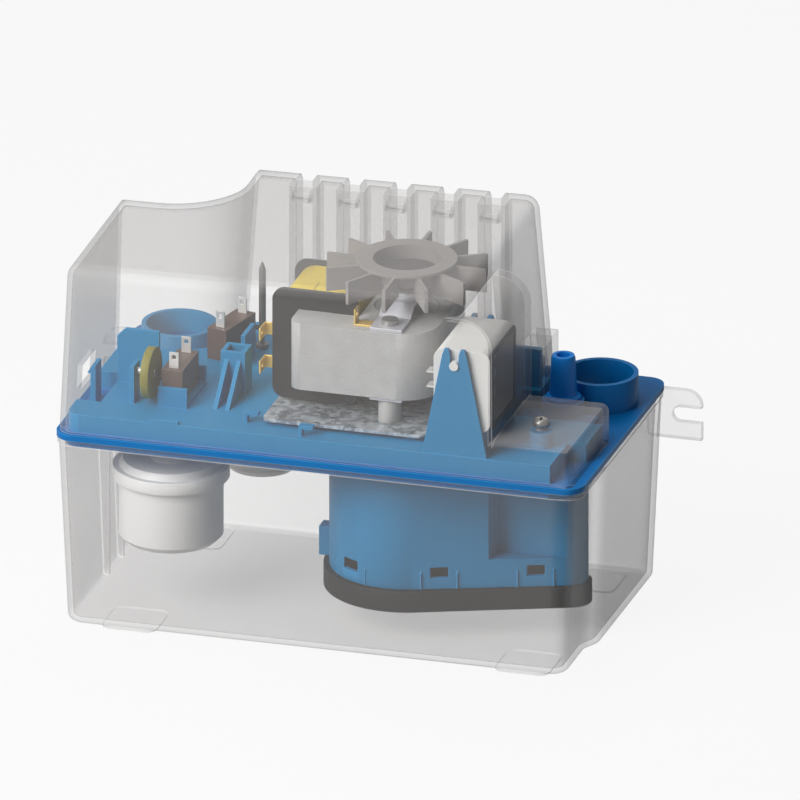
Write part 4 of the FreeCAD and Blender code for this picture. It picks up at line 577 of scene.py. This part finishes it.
# %% Hoods at the heads of the flutes
FLUTE_FIRST, FLUTE_PITCH, FLUTES = 86.0, 23.4, 5
HOOD_HALF, HOOD_WALL = 5.0, 1.0
HOOD_FRONT, HOOD_BACK, HOOD_LOW, HOOD_HIGH = 126.5, 131.0, 82.5, 88.5
HOOD_BROW, HOOD_BROW_INSIDE = HOOD_HIGH - 2.5, HOOD_HIGH - 2.0
HOOD_INSIDE, HOOD_FLOOR = HOOD_FRONT + HOOD_WALL, HOOD_LOW + HOOD_WALL
for number in range(FLUTES):
    middle = FLUTE_FIRST + number * FLUTE_PITCH
    sides = []
    for edge in (middle - HOOD_HALF, middle + HOOD_HALF - HOOD_WALL):
        cheek = [at(edge, HOOD_BACK, HOOD_LOW), at(edge, HOOD_FRONT, HOOD_LOW),
                 at(edge, HOOD_FRONT, HOOD_BROW), at(edge, HOOD_BACK, HOOD_HIGH)]
        sides.append((cheek, wide(HOOD_WALL)))
    between = wide(2 * (HOOD_HALF - HOOD_WALL))
    start = middle - HOOD_HALF + HOOD_WALL
    front = [at(start, HOOD_FRONT, HOOD_LOW), at(start, HOOD_FRONT, HOOD_BROW),
             at(start, HOOD_INSIDE, HOOD_BROW_INSIDE), at(start, HOOD_INSIDE, HOOD_LOW)]
    base = [at(start, HOOD_INSIDE, HOOD_LOW), at(start, HOOD_INSIDE, HOOD_FLOOR),
            at(start, HOOD_BACK, HOOD_FLOOR), at(start, HOOD_BACK, HOOD_LOW)]
    hood = small_piece(f"flute_hood_{number + 1}",
                       sides + [(front, between), (base, between)], COVER_CLEAR)
    hood.visible_shadow = False
print("flute hoods:", FLUTES)

# %% Tongues round the snap windows of the skirt
MOTOR_ACROSS, MOTOR_DEEP = 158.0, 62.0
SKIRT_ROUND, SKIRT_END_ROUND, SKIRT_REACH = 37.1, 8.8, 81.0
TONGUES = (-SKIRT_ROUND / 2, SKIRT_ROUND * 0.67, SKIRT_REACH * 0.84)
TONGUE_HALF, TONGUE_LOW, TONGUE_HIGH = 8.6, -68.2, -58.5
BAR_WIDE, BAR_SUNK, BAR_PROUD, BAR_SLOPE = 0.9, 0.6, 0.7, 1.5
lean = (SKIRT_ROUND - SKIRT_END_ROUND) / SKIRT_REACH
upright = math.sqrt(1 - lean * lean)


def skirt_front(along):
    """Depth of the skirt's front face, measured from the motor's axis."""
    if along < SKIRT_ROUND * lean:
        return -math.sqrt(SKIRT_ROUND ** 2 - along ** 2)
    return (along * lean - SKIRT_ROUND) / upright


for number, along in enumerate(TONGUES, 1):
    bars = []
    for edge in (along - TONGUE_HALF, along + TONGUE_HALF - BAR_WIDE):
        across, deep = MOTOR_ACROSS + edge, MOTOR_DEEP + skirt_front(edge)
        outline = [at(across, deep + BAR_SUNK, TONGUE_LOW),
                   at(across, deep - BAR_PROUD, TONGUE_LOW),
                   at(across, deep - BAR_PROUD, TONGUE_HIGH - BAR_SLOPE),
                   at(across, deep + BAR_SUNK, TONGUE_HIGH)]
        bars.append((outline, wide(BAR_WIDE)))
    small_piece(f"skirt_tongue_{number}", bars, BLUE)
print("skirt tongues:", len(TONGUES))

# %% Painted shade: a dark frame round the connector's mouth
# The dark frame is painted shade on the box's right side, not a real part.
SHADE_FRAME_FACE, SHADE_FRAME_THICK, SHADE_FRAME_SOFTENING = 214.7, 0.6, 0.0001
MOUTH = ((8.6, 24.4), (51.4, 64.6), 4.6), ((14.3, 27.2), (48.5, 61.8), 1.2)
CORNER_STEPS = 6
SAME_POINT = 0.000001


def rounded_loop(low, high, radius):
    """Points of a rectangle with round corners, across the pump's depth and height."""
    loop = []
    for side, (deep, up) in enumerate(((high[0] - radius, high[1] - radius),
                                       (low[0] + radius, high[1] - radius),
                                       (low[0] + radius, low[1] + radius),
                                       (high[0] - radius, low[1] + radius))):
        for step in range(CORNER_STEPS + 1):
            turn = math.radians(90 * (side + step / CORNER_STEPS))
            loop.append((deep + radius * math.cos(turn), up + radius * math.sin(turn)))
    return loop


outer, inner = (rounded_loop(*corners) for corners in MOUTH)
ring = bmesh.new()
for here in range(len(outer)):
    after = (here + 1) % len(outer)
    wedge = [at(SHADE_FRAME_FACE, *place)
             for place in (outer[here], outer[after], inner[after], inner[here])]
    near = [ring.verts.new(point) for point in wedge]
    far = [ring.verts.new(point + wide(SHADE_FRAME_THICK)) for point in wedge]
    ring.faces.new(near)
    ring.faces.new(far[::-1])
    ring.faces.new((near[1], near[0], far[0], far[1]))
    ring.faces.new((near[3], near[2], far[2], far[3]))
bmesh.ops.remove_doubles(ring, verts=ring.verts[:], dist=SAME_POINT)
# A dark sheet that paints the shade on the box's right side.
shade_frame = piece_from("connector_shade_frame", ring, BOBBIN, SHADE_FRAME_SOFTENING)
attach(shade_frame, "pump_frame")
print("bezel points:", len(shade_frame.data.vertices))

# %% Loose end of the coil's tape
TAB_STARTS, TAB_WIDE, TAB_INWARD = 0.42, 0.36, 0.001
TAB_OUTLINE = ((0.0, -0.0001), (0.007, -0.0001), (0.007, 0.0002), (0.001, 0.0003),
               (0.0, 0.0009))
TAB_SOFTENING = 0.00008
coil_low, coil_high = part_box("coil_winding")
tape_wide = (coil_high.y - coil_low.y) * TAB_WIDE
tape_left = coil_low.x + (coil_high.x - coil_low.x) * TAB_STARTS
tab = [Vector((tape_left + along, coil_low.y + TAB_INWARD, coil_high.z + up))
       for along, up in TAB_OUTLINE]
small_piece("tape_end", [(tab, Vector((0, tape_wide, 0)))], TAPE, TAB_SOFTENING)
print("tape end", round(tape_wide * 1000, 1), "mm wide")

# %% [markdown]
# ## Floor, light and camera
#
# The pump is seen as in a parts book: from the front right, a little above, with no
# perspective. So the camera is orthographic, 16.4 degrees round and 21.9 degrees up.
# The camera and the lamps are placed the same way: so many degrees round and up from
# the middle of the pump, and turned to look at it.

# %% Where the camera stands
TARGET = Vector((0.0197, 0.0, 0.1049))
SEEN_WIDTH = 0.381


def stand(thing, azimuth, elevation, distance):
    """Put a camera or lamp off the pump, by degrees round and up, looking at it."""
    turn, rise = math.radians(azimuth), math.radians(elevation)
    away = Vector((math.sin(turn) * math.cos(rise), -math.cos(turn) * math.cos(rise),
                   math.sin(rise)))
    thing.location = TARGET + away * distance
    thing.rotation_mode = "QUATERNION"
    thing.rotation_quaternion = (-away).to_track_quat("-Z", "Y")
    bpy.context.scene.collection.objects.link(thing)


camera = bpy.data.objects.new("camera", bpy.data.cameras.new("camera"))
camera.data.type = "ORTHO"
camera.data.ortho_scale = SEEN_WIDTH
stand(camera, 16.4, 21.9, 1.0)
bpy.context.scene.camera = camera
print("camera at", [round(part, 3) for part in camera.location])

# %% [markdown]
# ## A white room that gives little light
#
# A pale floor takes a soft shadow. To the eye, the floor and the world are white. As
# light on the pump both are dim, so that the lamps alone shape it. Metal sees a part of
# the white in its reflections. The Light Path node tells these rays apart.

# %% Floor and background
FLOOR_HALF, FLOOR_DROP = 4.0, 0.0004
FLOOR_GREY, FLOOR_WHITE = (0.48, 0.48, 0.48, 1), 0.9
FLOOR_MIRRORED, SKY_MIRRORED, SKY_AS_LIGHT = 0.35, 0.3, 0.08
WHITE = (1, 1, 1, 1)


def rays(nodes):
    """1 for a ray straight from the camera, and 1 for a ray off a shiny face."""
    return (nodes.node("ShaderNodeLightPath", {}, {}, kind)
            for kind in ("Is Camera Ray", "Is Glossy Ray"))


def backdrop(name, colour, seen):
    """White to the eye, and dimmer as a light on the pump."""
    finish = Finish(name, Base_Color=colour, Roughness=0.6)
    glow = finish.node("ShaderNodeEmission", {}, {"Color": WHITE, "Strength": 1.0})
    direct, mirrored = rays(finish)
    share = direct * seen + mirrored * (FLOOR_MIRRORED * seen)
    surface = Wire(finish, finish.shader.outputs[0])
    mixed = finish.node("ShaderNodeMixShader", {}, [share, surface, glow])
    finish.join(mixed, "Material Output", "Surface")
    return finish.material


floor_mesh = bpy.data.meshes.new("floor")
floor_mesh.from_pydata([(-FLOOR_HALF, -FLOOR_HALF, 0), (FLOOR_HALF, -FLOOR_HALF, 0),
                        (FLOOR_HALF, FLOOR_HALF, 0), (-FLOOR_HALF, FLOOR_HALF, 0)],
                       [], [(0, 1, 2, 3)])
floor = bpy.data.objects.new("floor", floor_mesh)
bpy.context.scene.collection.objects.link(floor)
floor.location.z = -FLOOR_DROP
floor_mesh.materials.append(backdrop("pale_floor", FLOOR_GREY, FLOOR_WHITE))

world = bpy.data.worlds.new("studio")
world.use_nodes = True
bpy.context.scene.world = world
sky = Nodes(world.node_tree)
direct, mirrored = rays(sky)
level = sky.node("ShaderNodeMapRange", {}, {"Value": direct | mirrored * SKY_MIRRORED,
                                            "To Min": SKY_AS_LIGHT, "To Max": 1.0})
sky.join(level, "Background", "Strength")
sky.tree.nodes["Background"].inputs["Color"].default_value = WHITE
print("floor", round(2 * FLOOR_HALF), "m wide, sky", SKY_AS_LIGHT, "as light")

# %% [markdown]
# ## Lamps
#
# One large lamp from the upper left front gives the housings their bright front and
# their dark right side. A weak one from above keeps the tops from going dull, and one
# high at the rear lights the back.


# %% Three lamps
def lamp(name, azimuth, elevation, distance, size, watts):
    """A square lamp that looks at the pump from a given direction."""
    light = bpy.data.lights.new(name, "AREA")
    light.shape = "SQUARE"
    light.size = size
    light.energy = watts
    stand(bpy.data.objects.new(name, light), azimuth, elevation, distance)


lamp("key", -34, 34, 1.6, 0.9, 30)
lamp("top", -60, 75, 1.8, 1.0, 8)
lamp("rear", -165, 58, 1.7, 0.9, 6)
bpy.context.scene.view_settings.view_transform = "Standard"
print("lamps:", [light.name for light in bpy.data.lights])
